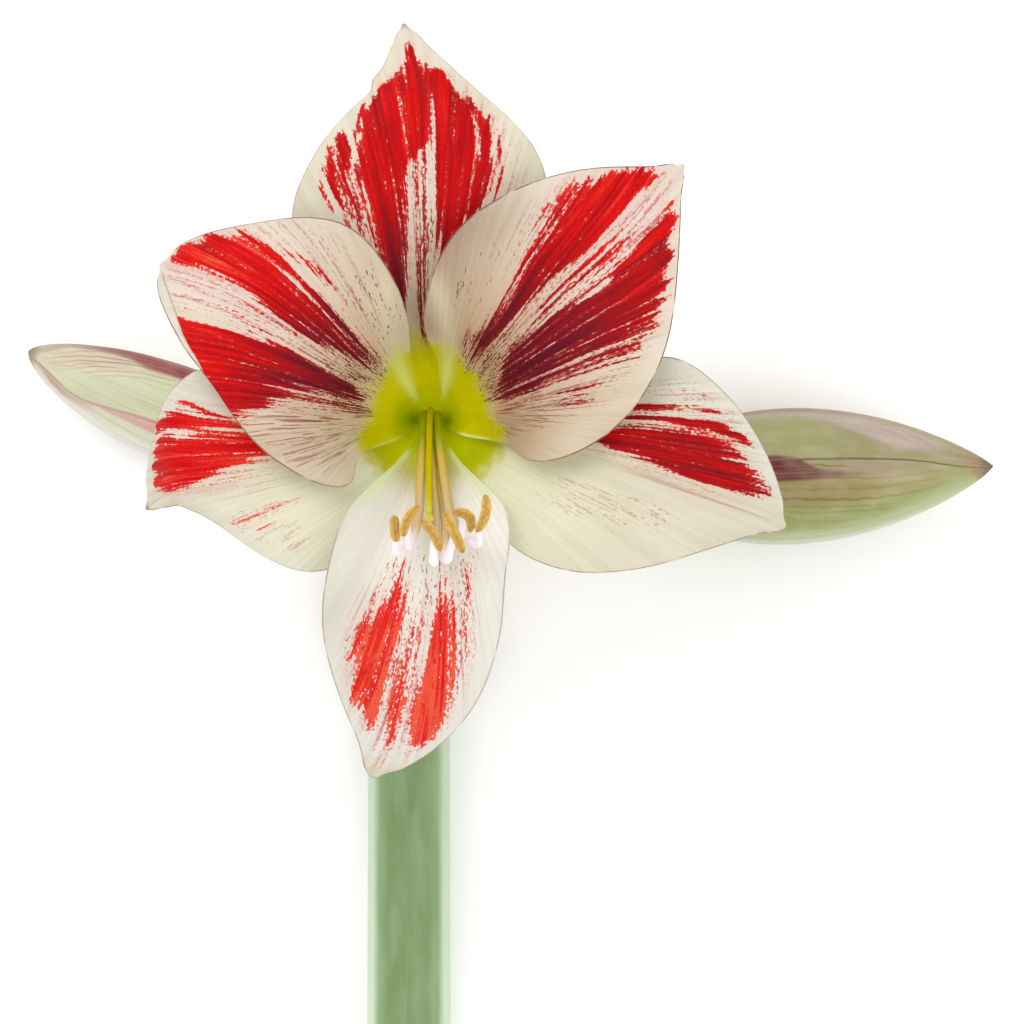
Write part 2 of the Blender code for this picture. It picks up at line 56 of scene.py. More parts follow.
# Rows of a tepal from base to tip: reach from the bloom's axis, drop, turns of one side, midrib, other side
TEPALS = {
    "top": {
        "ring": OUTER_RING, "cup": -3.0, "groove": 1.2, "wave": (0.6, 3, 0.4),
        "rows": [(8.2, 0, 61, 92, 119), (13, 0, 60, 92.5, 120), (25, 0, 58, 92.8, 123),
                 (44, 0, 57.5, 91.5, 127), (59, 0, 59.5, 91.3, 125), (71, 0, 67.2, 91.6, 113.5),
                 (82, 1.5, 81, 92.1, 100.6), (91, 4, 88.8, 92.9, 96.2), (98.3, 8, 92.7, 93.5, 94.1)],
    },
    "upper_right": {
        "ring": INNER_RING, "cup": 2.2, "groove": 1.4, "wave": (0.7, 3, 1.9),
        "rows": [(6.8, 0, -25, 30, 56), (11, 0, -26, 34, 74), (20, 0, -21, 38.7, 91),
                 (29, 0, -24, 40.5, 90.5), (44, 0, -8, 42, 82.5), (58, 0, 10.2, 42, 70.2),
                 (71, 0.5, 28.6, 42.3, 58.6), (82, 2, 39.4, 43.2, 48.8), (89.3, 5, 43.4, 44.1, 45)],
    },
    "upper_left": {
        "ring": INNER_RING, "cup": 2.2, "groove": 1.4, "wave": (0.7, 3, 3.4),
        "rows": [(6.8, 0, 124, 151, 211), (11, 0, 111, 150, 213), (20, 0, 103.5, 149, 211),
                 (27, 0, 102, 148.2, 221.5), (39, 0, 105.7, 147.2, 198), (52, 0, 114.2, 147.4, 174.9),
                 (64, 1.5, 131.9, 149, 163.8), (73, 6, 142.8, 150.4, 156.5), (77, 13, 149, 150.7, 152)],
    },
    "lower_left": {
        "ring": OUTER_RING, "cup": -2.5, "groove": 1.6, "wave": (0.6, 3, 0.9),
        "rows": [(8.2, 0, 182, 211, 236), (13, 0, 178, 210.5, 237), (25, 0, 171, 207.5, 240),
                 (40, 0, 168, 202, 241.3), (50, 0, 167, 199.8, 232), (58.5, 1.5, 169, 198.4, 209.4),
                 (65.3, 6, 175.5, 197.3, 201), (70.2, 13, 186, 197.3, 199.4),
                 (75.4, 20, 197.6, 198.2, 198.9)],
    },
    "lower_right": {
        "ring": OUTER_RING, "cup": -2.5, "groove": 1.6, "wave": (0.6, 3, 2.4),
        "rows": [(8.2, 0, -56, -27, -2), (13, 0, -57, -22, 2), (25, 0, -60, -17.8, 7),
                 (39, 0, -57.4, -16.3, 12), (52, 0, -48.6, -16, 14.2), (64, 0.5, -37.6, -16.4, 12.6),
                 (76, 2.5, -27.2, -16.8, 3), (87, 7, -20.4, -17.1, -8), (94.4, 12, -18.2, -17.3, -16.4)],
    },
    "bottom": {
        "ring": INNER_RING, "cup": 1.6, "groove": 1.0, "wave": (0.5, 3, 4.6),
        "rows": [(6.8, 0, 242, 270, 298), (11, 0, 238, 270.5, 302), (20, 0, 232, 270.3, 308),
                 (31, 0.5, 230.4, 269.4, 309.2), (45, 2, 236.8, 268, 295.8), (59, 5, 243.6, 266.4, 287.8),
                 (73, 10, 252, 264.8, 279.8), (84, 17, 257.8, 263.4, 271.4), (92.7, 24, 260, 261.4, 262.8)],
    },
}


def hundredths(bands_by_tepal):
    return {name: [np.array(rows) / 100 for rows in bands] for name, bands in bands_by_tepal.items()}


# Where the streaks run on each tepal, in hundredths: bands of (share from base to tip, from, to, strength).
# Places across go from -100 to 100
STREAKS = hundredths({
    "top": [
        [(25, 28, 34, 0), (27, 26, 38, 70), (30, 18, 40, 80), (35, 14, 41, 90), (40, 12.5, 41, 100),
         (45, 11, 41, 100), (50, 11, 44, 100), (53, 10, 48, 100), (56, 3, 51, 100), (60, -7, 53, 100),
         (65, -9.5, 59, 100), (70, -12, 70, 100), (75, -16, 76, 100), (80, -20, 50, 85), (84, -25, 45, 60),
         (88, -20, 30, 55), (93, -10, 10, 0)],
        [(32, -24, -17, 0), (34, -28, -15, 80), (40, -39, -12, 100), (45, -42, -10.5, 100),
         (50, -44, -10, 100), (55, -45.5, -10.5, 100), (60, -46.5, -12, 100), (65, -50, -14, 100),
         (70, -56, -17, 100), (75, -64, -21, 100), (80, -62, -28, 90), (84, -50, -34, 0)],
        [(33, 44, 47, 0), (38.5, 43, 48, 80), (47, 45.5, 53.5, 100), (53, 53, 61, 100), (59.5, 58.5, 72, 100),
         (64, 69, 83, 80), (67, 80, 90, 0)],
        [(36, 50, 53, 0), (40.5, 50, 54, 80), (47, 55, 59, 90), (52, 61, 67, 100), (57.5, 69, 76, 90),
         (62, 80, 87, 60), (65, 88, 93, 0)],
        [(36, 57, 60, 0), (40.5, 58, 61, 60), (44, 61, 64, 75), (50, 69, 72, 75), (56, 78, 81, 70),
         (60, 84, 88, 0)],
        [(60, 54, 58, 0), (64.5, 57, 65, 90), (68, 68, 76, 95), (71, 76, 84, 70), (73.5, 84, 90, 0)],
        [(40, -44, -41, 0), (45, -50, -43, 80), (50, -53, -45, 100), (55, -55, -46, 100), (60, -57, -47, 100),
         (65, -63, -50, 100), (70, -72, -57, 90), (73.5, -78, -70, 0)],
        [(42, -56, -54, 0), (48, -59, -55, 70), (55, -63, -58.5, 80), (60, -66, -61, 80), (66, -73, -68, 70),
         (70, -79, -74, 0)],
        [(17, -5, 10, 0), (22, -4, 10, 75), (34, -3, 8, 75), (40, -3, 6, 50), (50, -5, 6, 46),
         (62, -8, 2, 46), (68, -8, 0, 0)],
        [(56, -12, 0, 0), (60, -14, -4, 45), (70, -20, -10, 50), (80, -28, -20, 50), (86, -30, -20, 0)],
    ],
    "upper_right": [
        [(20, 20, 42, 0), (25, 20, 40, 60), (30, 18, 37, 95), (35, 15, 33, 100), (40, 14, 32, 100),
         (45, 12, 32, 100), (50, 12, 40, 100), (55, 12, 44, 100), (60, 12, 50, 100), (65, 12, 61, 100),
         (70, 17, 74, 100), (75, 22, 84, 100), (80, 33, 88, 100), (85, 35, 80, 100), (90, 40, 80, 90),
         (93.5, 45, 70, 0)],
        [(20, -60, -30, 0), (25, -55, -20, 75), (30, -46, -8, 95), (35, -42, -2, 100), (40, -40, -3, 100),
         (45, -40, -4, 100), (50, -45, -8, 100), (55, -52, -14, 100), (60, -60, -18, 100),
         (65, -72, -15, 100), (70, -80, -20, 100), (75, -80, -20, 100), (80, -70, -35, 100),
         (85, -62, -45, 85), (88, -58, -48, 0)],
        [(55, 50, 53, 0), (57, 52, 56, 70), (61, 58, 63, 75), (64.5, 65, 70, 70), (67, 69, 73, 0)],
        [(34, -42, -30, 0), (40, -42, -28, 50), (50, -56, -42, 50), (60, -76, -60, 55), (66, -86, -70, 0)],
        [(38, -12, 10, 0), (46, -12, 12, 50), (65, -15, 12, 50), (76, -15, 12, 0)],
        [(38, -68, -48, 0), (44, -68, -48, 30), (55, -70, -50, 30), (62, -70, -50, 0)],
    ],
    "upper_left": [
        [(20, -42, -20, 0), (24, -42, -16, 60), (30, -38, -12, 95), (35, -36, -10, 100), (40, -37, -5, 100),
         (45, -38, 0, 100), (50, -36, 2, 100), (55, -33, 0, 100), (60, -38, -3, 100), (65, -50, -7, 100),
         (70, -60, -10, 100), (75, -80, -14, 100), (80, -87, -20, 100), (85, -88, -24, 100),
         (90, -86, -31, 100), (95, -80, -40, 0)],
        [(19, 30, 46, 0), (22, 25, 45, 70), (26, 15, 37, 95), (30, 13, 33, 100), (35, 12, 30, 100),
         (40, 12, 32, 100), (45, 12, 38, 100), (50, 14, 54, 100), (55, 20, 80, 100), (60, 30, 110, 100),
         (65, 41, 120, 100), (70, 52, 120, 100), (75, 66, 120, 100), (80, 80, 120, 100), (84, 90, 120, 70),
         (86, 100, 120, 0)],
        [(34, 0, 20, 0), (42, 0, 28, 34), (60, 2, 36, 38), (75, 10, 50, 0)],
        [(48, -54, -46, 0), (52, -54, -46, 50), (64, -56, -48, 50), (69, -60, -50, 0)],
    ],
    "lower_left": [
        [(27, -40, -20, 0), (30, -42, -20, 90), (40, -44, -19, 100), (45, -44, -17, 100), (50, -44, -15, 100),
         (55, -45, -12, 100), (60, -45, -9, 100), (65, -46, -6, 100), (70, -48, -5, 100), (75, -60, -5, 100),
         (80, -72, -6, 100), (85, -80, -12, 86), (88.5, -80, -20, 58), (91, -60, -30, 0)],
        [(38, -50, -46, 0), (46, -52, -46, 90), (55, -55, -47, 90), (62, -60, -49, 100), (70, -73, -57, 100),
         (77, -86, -68, 100), (83, -97, -82, 90), (87, -100, -90, 0)],
        [(46, -56, -53, 0), (53, -60, -56, 80), (60, -68, -63, 90), (68, -80, -74, 80), (74, -90, -85, 0)],
        [(42, -10, 0, 0), (47, -9, -3, 50), (58, -7, -1, 50), (66, -5, 0, 0)],
        [(34, 28, 31, 0), (37, 28, 31, 50), (47, 25, 30, 50), (54, 39, 45, 55), (64, 60, 66, 0)],
        [(42, 36, 39, 0), (50, 42, 46, 45), (58, 56, 60, 45), (64, 68, 72, 0)],
    ],
    "lower_right": [
        [(37, 26, 30, 0), (41, 24, 34, 90), (46, 17, 43, 100), (50, 15, 44, 100), (55, 13, 44, 100),
         (60, 12, 44, 100), (65, 11, 45, 100), (70, 11, 50, 100), (75, 16, 56, 100), (79, 17, 62, 90),
         (84, 22, 68, 52), (89, 34, 66, 24), (91.5, 42, 60, 0)],
        [(42, 48, 52, 0), (49, 48, 54, 90), (56, 48, 53, 90), (64.5, 47.5, 54, 100), (70, 55, 63, 100),
         (75, 62, 71, 100), (79, 70, 80, 90), (83, 80, 88, 0)],
        [(46, 56, 60, 0), (50.5, 56, 61, 90), (56, 56.5, 61, 90), (62, 59, 63, 80), (68, 66, 71, 90),
         (72, 73, 79, 70), (74.5, 78, 82, 0)],
        [(52, 65, 68, 0), (55, 67, 70, 30), (62, 71, 74, 36), (68, 79, 82, 30), (70, 82, 84, 0)],
    ],
    "bottom": [
        [(40, -25, -18, 0), (45, -26, -18, 36), (50, -32, -15, 66), (55, -44, -15, 92), (60, -60, -17, 100),
         (65, -65, -24, 100), (70, -70, -28, 100), (75, -75, -34, 95), (80, -72, -40, 75), (85, -68, -42, 0)],
        [(42, 20, 24, 0), (46, 19, 24, 58), (50, 20, 34, 68), (55, 19, 42, 92), (60, 19, 44, 100),
         (65, 18, 50, 100), (70, 13, 56, 100), (75, 12, 62, 100), (80, 15, 68, 95), (85, 25, 65, 80),
         (91, 35, 50, 0)],
        [(40, 49, 56, 0), (45, 49, 56, 50), (60, 50, 60, 50), (66, 50, 70, 50), (74, 60, 78, 0)],
        [(58, -20, -10, 0), (65, -20, -10, 50), (85, -20, -10, 55), (90, -20, -10, 0)],
        [(50, -12, 14, 0), (60, -12, 12, 30), (85, -14, 12, 36), (92, -10, 10, 0)],
    ],
})
# Fans of fine dots and dashes, in the same way
DOTS = hundredths({
    "top": [
        [(14, -6, 12, 0), (20, -7, 13, 64), (38, -10, 10, 64), (50, -10, 10, 56), (60, -10, 6, 0)],
    ],
    "upper_right": [
        [(13, -20, 40, 0), (20, -50, 55, 62), (27, -45, 50, 68), (36, -10, 30, 60), (50, -10, 15, 0)],
        [(17, -90, -50, 0), (24, -95, -45, 55), (37, -75, -40, 50), (45, -70, -45, 0)],
        [(30, 40, 80, 0), (40, 40, 80, 40), (55, 45, 70, 40), (62, 50, 80, 0)],
    ],
    "upper_left": [
        [(13, -40, 30, 0), (20, -50, 50, 62), (27, -45, 50, 68), (38, -10, 20, 60), (50, -10, 15, 0)],
        [(15, 30, 62, 0), (19, 30, 60, 80), (27, 30, 50, 72), (34, 30, 40, 0)],
        [(17, 50, 80, 0), (24, 40, 85, 57), (38, 35, 85, 54), (48, 50, 95, 50), (58, 70, 100, 48),
         (64, 90, 100, 0)],
        [(22, -100, -50, 0), (30, -100, -50, 42), (50, -95, -45, 42), (62, -90, -50, 0)],
    ],
    "lower_left": [
        [(36, 20, 70, 0), (42, 20, 75, 55), (58, 25, 70, 55), (64, 30, 60, 0)],
    ],
    "lower_right": [
        [(28, -50, -20, 0), (36, -50, -18, 55), (62, -55, -20, 55), (72, -50, -25, 0)],
    ],
    "bottom": [
        [(36, -35, 50, 0), (44, -40, 60, 50), (70, -70, 75, 50), (85, -70, 70, 0)],
        [(40, -36, -12, 0), (47, -42, -12, 56), (55, -66, -30, 54), (68, -82, -62, 50), (76, -84, -70, 0)],
        [(42, 15, 40, 0), (50, 20, 60, 54), (62, 42, 66, 54), (78, 56, 76, 52), (86, 50, 70, 0)],
    ],
})
# Zones of thin pink lines between the bands, in the same way
PINK = hundredths({
    "top": [
        [(30, -14, 14, 0), (36, -14, 14, 80), (60, -12, 10, 80), (85, -20, 10, 90), (96, -30, 30, 0)],
        [(30, -100, -50, 0), (40, -80, -50, 50), (75, -85, -60, 50), (82, -80, -60, 0)],
    ],
    "upper_right": [
        [(20, -30, 30, 0), (28, -20, 30, 70), (60, -22, 20, 80), (85, -50, 30, 70), (97, -60, 60, 0)],
        [(25, -70, -30, 0), (35, -70, -25, 70), (60, -80, -50, 60), (70, -90, -70, 0)],
        [(40, 40, 60, 0), (50, 40, 66, 50), (68, 50, 80, 60), (78, 70, 90, 0)],
    ],
    "upper_left": [
        [(20, -20, 25, 0), (28, -15, 22, 70), (60, 0, 40, 85), (80, -10, 80, 75), (97, -30, 60, 0)],
        [(30, -70, -30, 0), (40, -70, -35, 50), (70, -95, -60, 60), (85, -100, -80, 0)],
        [(26, 30, 60, 0), (34, 30, 75, 30), (50, 50, 95, 45), (62, 80, 100, 40), (68, 90, 100, 0)],
    ],
    "lower_left": [
        [(40, -90, -50, 0), (50, -90, -50, 20), (80, -95, -50, 30), (90, -90, 0, 30), (97, -60, 30, 0)],
        [(30, -30, 10, 0), (40, -25, 10, 50), (70, -20, 20, 50), (85, -20, 30, 0)],
    ],
    "lower_right": [
        [(40, 50, 80, 0), (50, 50, 80, 50), (75, 55, 90, 60), (88, 40, 90, 0)],
        [(35, 0, 25, 0), (45, 0, 25, 50), (70, 0, 25, 60), (85, 10, 40, 0)],
    ],
    "bottom": [
        [(45, -50, 60, 0), (55, -70, 70, 50), (80, -75, 75, 75), (93, -60, 60, 60), (98, -40, 40, 0)],
    ],
})
# How many mm the outer sides of the bands fade over
FEATHER = {"top": 1.8, "bottom": 3.0, "lower_left": 2.0, "lower_right": 2.0}

# Filaments and anthers, from the bloom's axis. An anther is (x, y, turn, length, bow)
STAMENS = [
    {"foot": (-1.75, -1.2), "fan": -2.7, "hook": (-7.4, -34.4, 120), "end": (-7.2, -28.6, 128.5),
     "anther": (-7.4, -28.6, 95, 6.4, 0.3)},
    {"foot": (-1.55, 1.15), "fan": -1.9, "hook": (-4.3, -33.2, 121.5), "end": (-4.4, -26.4, 131.5),
     "anther": (-3.6, -26.8, 63, 8.4, 1)},
    {"foot": (0, 0), "fan": 2.2, "hook": (1.8, -36.8, 120.5), "end": (1.8, -29.9, 130),
     "anther": (1.2, -30.3, 122, 9, -0.8)},
    {"foot": (0, -2.05), "fan": 4.4, "hook": (4.9, -36.2, 121), "end": (6.9, -29.6, 132),
     "anther": (6.9, -29.6, 115, 11.1, -0.2)},
    {"foot": (1.78, 1.03), "fan": 5.6, "hook": (8.2, -31.2, 118), "end": (9.1, -24.9, 127.5),
     "anther": (8.7, -27.1, 132, 6.4, -2.4)},
    {"foot": (1.78, -1.03), "fan": 6.9, "hook": (12.4, -32.4, 121.5), "end": (13.1, -28.4, 131),
     "anther": (13.5, -24.8, 77, 9.4, -1.2)},
]
# The way that all filaments share: (forward, height, how far they have fanned out)
SHEAF = [(0, 58, 0), (-1, 66, 0), (-4.2, 77, 0.12), (-9.8, 89.5, 0.3), (-17.5, 101, 0.6), (-26, 110, 1)]
STYLE_END, STYLE_LIFT = (0.5, -25.0, 114.0), 2.05
FILAMENT_STEPS, FILAMENT_SIDES = 90, 20
ANTHER_RADIUS, ANTHER_DROOP = 1.25, 0.9

# The buds' paint: coats of (colour, softness in mm, rows). Rows are (share, from, to, strength), in degrees
LEFT_TINTS = [
    ((206, 212, 172), 3, [(0.2, -30, 40, 1), (0.55, -20, 38, 0.9), (0.8, -36, 10, 0.7), (1, -25, -10, 0)]),
    ((214, 196, 172), 2, [(0.5, 34, 50, 0), (0.6, 32, 52, 0.6), (0.7, 26, 58, 0.8), (0.8, 12, 64, 0.85),
     (0.9, -8, 40, 0.8), (0.97, -20, 20, 0.5), (1, -22, 20, 0)]),
    ((236, 232, 220), 2.5, [(0.3, -150, -44, 0.9), (0.9, -150, -60, 0.9), (1, -140, -60, 0.5)]),
    ((218, 164, 160), 0.7, [(0.3, -33, -17, 0.95), (0.53, -33, -17, 1), (0.6, -33.5, -21, 1),
     (0.66, -34, -26, 0.95), (0.71, -35, -29, 0.8), (0.76, -44, -36, 0.5), (0.8, -48, -38, 0)]),
    ((186, 136, 122), 1, [(0.7, -48, -40, 0), (0.77, -56, -40, 0.4), (0.84, -60, -42, 0.7),
     (0.89, -54, -34, 0.85), (0.94, -38, -24, 0.9), (0.98, -34, -23, 0.9)]),
    ((142, 40, 44), 1, [(0.3, 40, 92, 1), (0.52, 42, 92, 1), (0.6, 41, 92, 1), (0.66, 50, 92, 1),
     (0.71, 54, 92, 1), (0.79, 58, 95, 0.75), (0.88, 54, 95, 0.55), (0.95, 24, 95, 0.4), (1, 0, 95, 0.2)]),
    ((150, 116, 92), 2.5, [(0.955, -180, 180, 0), (0.985, -180, 180, 0.9), (1, -180, 180, 1)]),
]
LEFT_LINES = [
    ((146, 102, 94), 0.24, [(0.64, 56, 58, 0), (0.66, 56, 58, 0.7), (0.707, 57.5, 59.5, 0.9),
     (0.772, 55.3, 57.3, 0.9), (0.834, 45.9, 47.9, 0.8), (0.894, 30.7, 32.7, 0.5), (0.93, 19, 21, 0)]),
    ((146, 102, 94), 0.24, [(0.6, 44, 46, 0), (0.65, 45.7, 47.7, 0.85), (0.7, 44.1, 46.1, 0.9),
     (0.765, 40.8, 42.8, 0.95), (0.828, 33.5, 35.5, 0.9), (0.889, 20, 22, 0.7), (0.937, 3, 5, 0.4),
     (0.955, -3, -1, 0)]),
    ((150, 98, 88), 0.26, [(0.5, 42, 44, 0.8), (0.56, 42.8, 44.8, 0.9), (0.63, 42, 44, 0.85),
     (0.696, 37.8, 39.8, 0.9), (0.759, 31, 33, 0.9), (0.825, 24, 26, 0.9), (0.883, 8.3, 10.3, 0.7),
     (0.92, -3, -1, 0.3), (0.94, -6, -4, 0)]),
    ((150, 112, 100), 0.22, [(0.75, 28, 30, 0), (0.78, 24.5, 26.5, 0.6), (0.818, 17.5, 19.5, 0.75),
     (0.847, 7.6, 9.6, 0.75), (0.9, -3, -1, 0.3), (0.92, -7, -5, 0)]),
    ((150, 112, 100), 0.22, [(0.66, 31, 33, 0), (0.7, 28.5, 30.5, 0.4), (0.74, 24.5, 26.5, 0.6),
     (0.779, 19.5, 21.5, 0.7), (0.814, 10.4, 12.4, 0.6), (0.862, -3, -1, 0.3), (0.89, -9, -7, 0)]),
    ((156, 124, 104), 0.22, [(0.5, 36, 38, 0.5), (0.624, 31, 33, 0.4), (0.7, 23, 25, 0.45),
     (0.748, 16, 18, 0.5), (0.784, 8, 10, 0.5), (0.83, -4, -2, 0)]),
    ((160, 136, 112), 0.22, [(0.5, 29, 31, 0.3), (0.6, 26, 28, 0.35), (0.684, 18, 20, 0.4),
     (0.743, 9, 11, 0.35), (0.79, -2, 0, 0)]),
    ((160, 104, 92), 0.22, [(0.4, -17, -15, 0.7), (0.5, -19, -17, 0.7), (0.6, -23, -21, 0.7),
     (0.7, -31.5, -29.5, 0.7), (0.77, -39, -37, 0.7), (0.83, -41, -38.5, 0.8), (0.9, -31, -28, 0.9),
     (0.94, -26, -23, 0.9), (1, -25, -21, 0.9)]),
]
RIGHT_TINTS = [
    ((150, 142, 98), 3, [(0.45, -60, -15, 0), (0.6, -60, -15, 0.8), (0.8, -60, -15, 0.9), (1, -50, -5, 0.6)]),
    ((186, 168, 160), 1.8, [(0.3, -72, -60, 0.5), (0.45, -71, -60, 0.6), (0.51, -70, -55, 0.7),
     (0.6, -69, -45, 0.8), (0.65, -68, -39, 0.85), (0.73, -65, -29, 0.9), (0.79, -62, -32, 0.85),
     (0.85, -54, -28, 0.6), (0.9, -44, -20, 0)]),
    ((164, 118, 114), 0.8, [(0.2, -105, -71, 1), (0.4, -105, -71, 1), (0.5, -105, -69, 0.95),
     (0.6, -105, -70, 0.7), (0.7, -105, -71, 0.5), (0.8, -105, -70, 0.4), (1, -105, -70, 0.3)]),
    ((162, 146, 116), 1.6, [(0.5, -15, 1, 0), (0.57, -15, 2, 0.8), (0.7, -15, 3.5, 0.85), (0.8, -15, 2, 0.6),
     (0.92, -8, -3, 0)]),
    ((150, 132, 72), 2, [(0.2, 2, 26, 1), (0.6, 4, 26, 0.9), (0.75, 5, 22, 0.5), (0.9, 0, 16, 0)]),
    ((150, 160, 90), 3, [(0.2, 28, 95, 1), (0.9, 22, 90, 0.9), (1, 20, 90, 0.4)]),
    ((190, 200, 154), 2.5, [(0.2, 52, 172, 0.8), (0.7, 48, 172, 0.8), (0.9, 30, 172, 0.7),
     (1, 30, 172, 0.3)]),
    ((214, 218, 196), 1.8, [(0.2, 68, 104, 0.9), (0.7, 64, 104, 0.85), (1, 58, 104, 0.4)]),
    ((104, 2, 2), 0.7, [(0.25, -20, 5, 0.97), (0.38, -20, 3.3, 1), (0.44, -17, 3.2, 1), (0.47, -12, 3, 1),
     (0.5, -7, 2.4, 0.97), (0.54, -5, 1.8, 0.9), (0.58, -3.5, 1.2, 0.6), (0.62, -3, 0.8, 0.25),
     (0.66, -2, 0, 0)]),
    ((150, 118, 84), 3, [(0.84, -70, -16, 0), (0.93, -80, -10, 0.7), (1, -180, 180, 1)]),
    ((104, 80, 52), 2, [(0.955, -180, 180, 0), (0.98, -180, 180, 0.9), (1, -180, 180, 1)]),
    # A dark line by the seam: painted shadow of the overlapping sepal's edge
    ((76, 36, 22), 0.16, [(0.36, -16, -14.6, 1), (0.6, -16.2, -14.8, 1), (0.76, -16.2, -14.8, 1),
     (0.82, -14.4, -12.8, 0.9), (0.874, -10.4, -8.4, 0.9), (0.93, -6, -4, 0.9), (1, 0, 3, 0.9)]),
]
RIGHT_LINES = [
    ((116, 20, 16), 0.26, [(0.48, -11, -9.5, 0.8), (0.56, -9, -7.8, 0.6), (0.62, -8, -6.8, 0)]),
    ((140, 98, 74), 0.24, [(0.5, 0, 1.5, 0.4), (0.59, 2, 3.4, 0.8), (0.675, 3.8, 5.2, 0.7),
     (0.788, 2.6, 4, 0.6), (0.888, -3.6, -2, 0.2), (0.92, -5, -4, 0)]),
    ((126, 110, 52), 0.3, [(0.3, 9, 11, 0.7), (0.39, 9.2, 11.2, 0.7), (0.53, 10.3, 12.3, 0.8),
     (0.646, 12.6, 14.6, 0.7), (0.76, 12.4, 14.4, 0.5), (0.873, 9, 11, 0.3), (0.92, 6, 8, 0)]),
    ((134, 92, 52), 0.3, [(0.3, 16, 18, 0.8), (0.39, 16.1, 18.1, 0.9), (0.53, 19.4, 21.4, 0.9),
     (0.645, 22.9, 24.9, 0.9), (0.73, 24.1, 26.1, 0.6), (0.815, 24.8, 26.8, 0.4), (0.87, 24, 26, 0)]),
    ((130, 112, 60), 0.24, [(0.3, 22.6, 24.2, 0.6), (0.4, 23.6, 25.2, 0.6), (0.531, 26.2, 27.8, 0.6),
     (0.616, 28.9, 30.5, 0.5), (0.7, 33, 34.6, 0.3), (0.78, 35, 36.6, 0)]),
    ((128, 126, 66), 0.26, [(0.3, 27, 28.6, 0.6), (0.418, 28.4, 30, 0.6), (0.502, 31.2, 32.8, 0.6),
     (0.587, 32.7, 34.3, 0.6), (0.672, 36.6, 38.2, 0.4), (0.757, 38.7, 40.3, 0)]),
    ((132, 138, 76), 0.24, [(0.3, 33, 34.6, 0.5), (0.417, 34.4, 36, 0.5), (0.473, 38.7, 40.3, 0.5),
     (0.557, 42.5, 44.1, 0.5), (0.643, 43, 44.6, 0.4), (0.75, 45, 46.6, 0)]),
    ((142, 150, 96), 0.24, [(0.3, 40, 41.6, 0.4), (0.416, 41.9, 43.5, 0.4), (0.5, 48, 49.6, 0.4),
     (0.585, 52, 53.6, 0.4), (0.67, 52, 53.6, 0.3), (0.75, 53, 54.6, 0)]),
    ((190, 124, 116), 0.3, [(0.5, -69, -67, 0), (0.58, -69, -67, 0.5), (0.66, -69, -67, 0.8),
     (0.74, -69, -67, 0.7), (0.82, -66, -64, 0.3), (0.88, -62, -60, 0)]),
    ((190, 142, 136), 0.4, [(0.6, -66, -64, 0), (0.653, -61, -58, 0.5), (0.736, -50, -46, 0.7),
     (0.79, -38, -34, 0.6), (0.832, -24, -20, 0.2), (0.86, -16, -12, 0)]),
    ((150, 122, 98), 0.28, [(0.5, -60, -58, 0), (0.55, -52, -50, 0.4), (0.596, -45, -43, 0.6),
     (0.651, -39.5, -37.5, 0.6), (0.707, -29.5, -27.5, 0.6), (0.74, -22, -20, 0)]),
    ((150, 122, 98), 0.28, [(0.62, -68, -66, 0), (0.7, -63, -61, 0.5), (0.737, -60.5, -58.5, 0.6),
     (0.792, -53, -51, 0.6), (0.847, -34, -32, 0.5), (0.874, -17, -15, 0)]),
]
BUDS = {
    "bud_left": {
        "base": (-27.3, 30, 12.3), "tip": (-102, 59.3, 14.1), "bend": -1.2, "girth": 13.3,
        "blunt": 0.6, "seam": -20, "ovary": 13,
        "stalk": [(-4.7, 8.3, 8.6), (-4.7, 10.5, 8.6), (-5.2, 15.3, 8.9), (-8, 20.7, 9.8)],
        "ground": (216, 216, 188), "twist": [0, 0, 0, 0, 0, -2, -6, -14.5, -23, -14, -8],
        "wave": 0, "tints": LEFT_TINTS, "lines": LEFT_LINES,
    },
    "bud_right": {
        "base": (62, 24.6, 17.25), "tip": (156.2, 28.4, 20.05), "bend": 0.95, "girth": 18.2,
        "blunt": 0.77, "seam": -15, "ovary": 17,
        "stalk": [(4.9, 8.3, 8.6), (4.9, 10.5, 8.6), (7, 15.8, 8.9), (13.5, 20.9, 10), (26, 23.9, 12.6)],
        "ground": (162, 160, 104), "twist": [-4, -4, -4, -4, -5, -4.8, -5, -5.2, -4, 2, 8],
        "wave": 0.45, "tints": RIGHT_TINTS, "lines": RIGHT_LINES,
    },
}
BUD_WIDEST, BUD_NECK = 0.58, 0.34
SEPAL_TURN, SEPAL_LAP = 120, 5  # degrees round the bud, and how far its margins reach past that
COARSER = 3  # a sepal's inner side has one column for this many of the outer side
BLOOM_STALK = [(0.2, 8.3, 14.6), (0.2, 10.5, 14.6), (1.4, 19, 15), (4, 30.5, 17.6), (6.3, 39, 25.5)]
STALK_RADIUS = 3.4
SPATHE_ROWS = [(11.55, 4, 10.8, 7.6), (13.4, -3, 10.9, 8), (15.2, -13, 10.8, 6.8), (15.6, -23, 10.2, 4.4),
               (14.2, -32, 9.6, 0.9)]


def tone(red, green, blue):
    """A surface colour that shows as this screen colour under the lights."""
    shown = np.array((red, green, blue), float) / 255
    linear = np.where(shown <= 0.04045, shown / 12.92, ((shown + 0.055) / 1.055) ** 2.4)
    return linear / LEVEL


def ramp(value, low, high):
    """From 0 at low to 1 at high, smoothly."""
    part = np.clip((np.asarray(value, float) - low) / (high - low), 0, 1)
    return part * part * (3 - 2 * part)


def fade(value, low, high):
    return 1 - ramp(value, low, high)


def bell(value, width):
    return np.exp(-((value / width) ** 2))


def wrap(degrees):
    return (degrees + 180) % 360 - 180


def crowded(count):
    """Places from -1 to 1 that crowd towards both ends."""
    return np.sin(np.linspace(-np.pi / 2, np.pi / 2, count))


def circle(sides):
    return 2 * np.pi * np.arange(sides) / sides


def blend_in(colours, colour, amount):
    """Mix a colour into an array of colours by an array of amounts."""
    return colours + (colour - colours) * np.asarray(amount)[..., None]


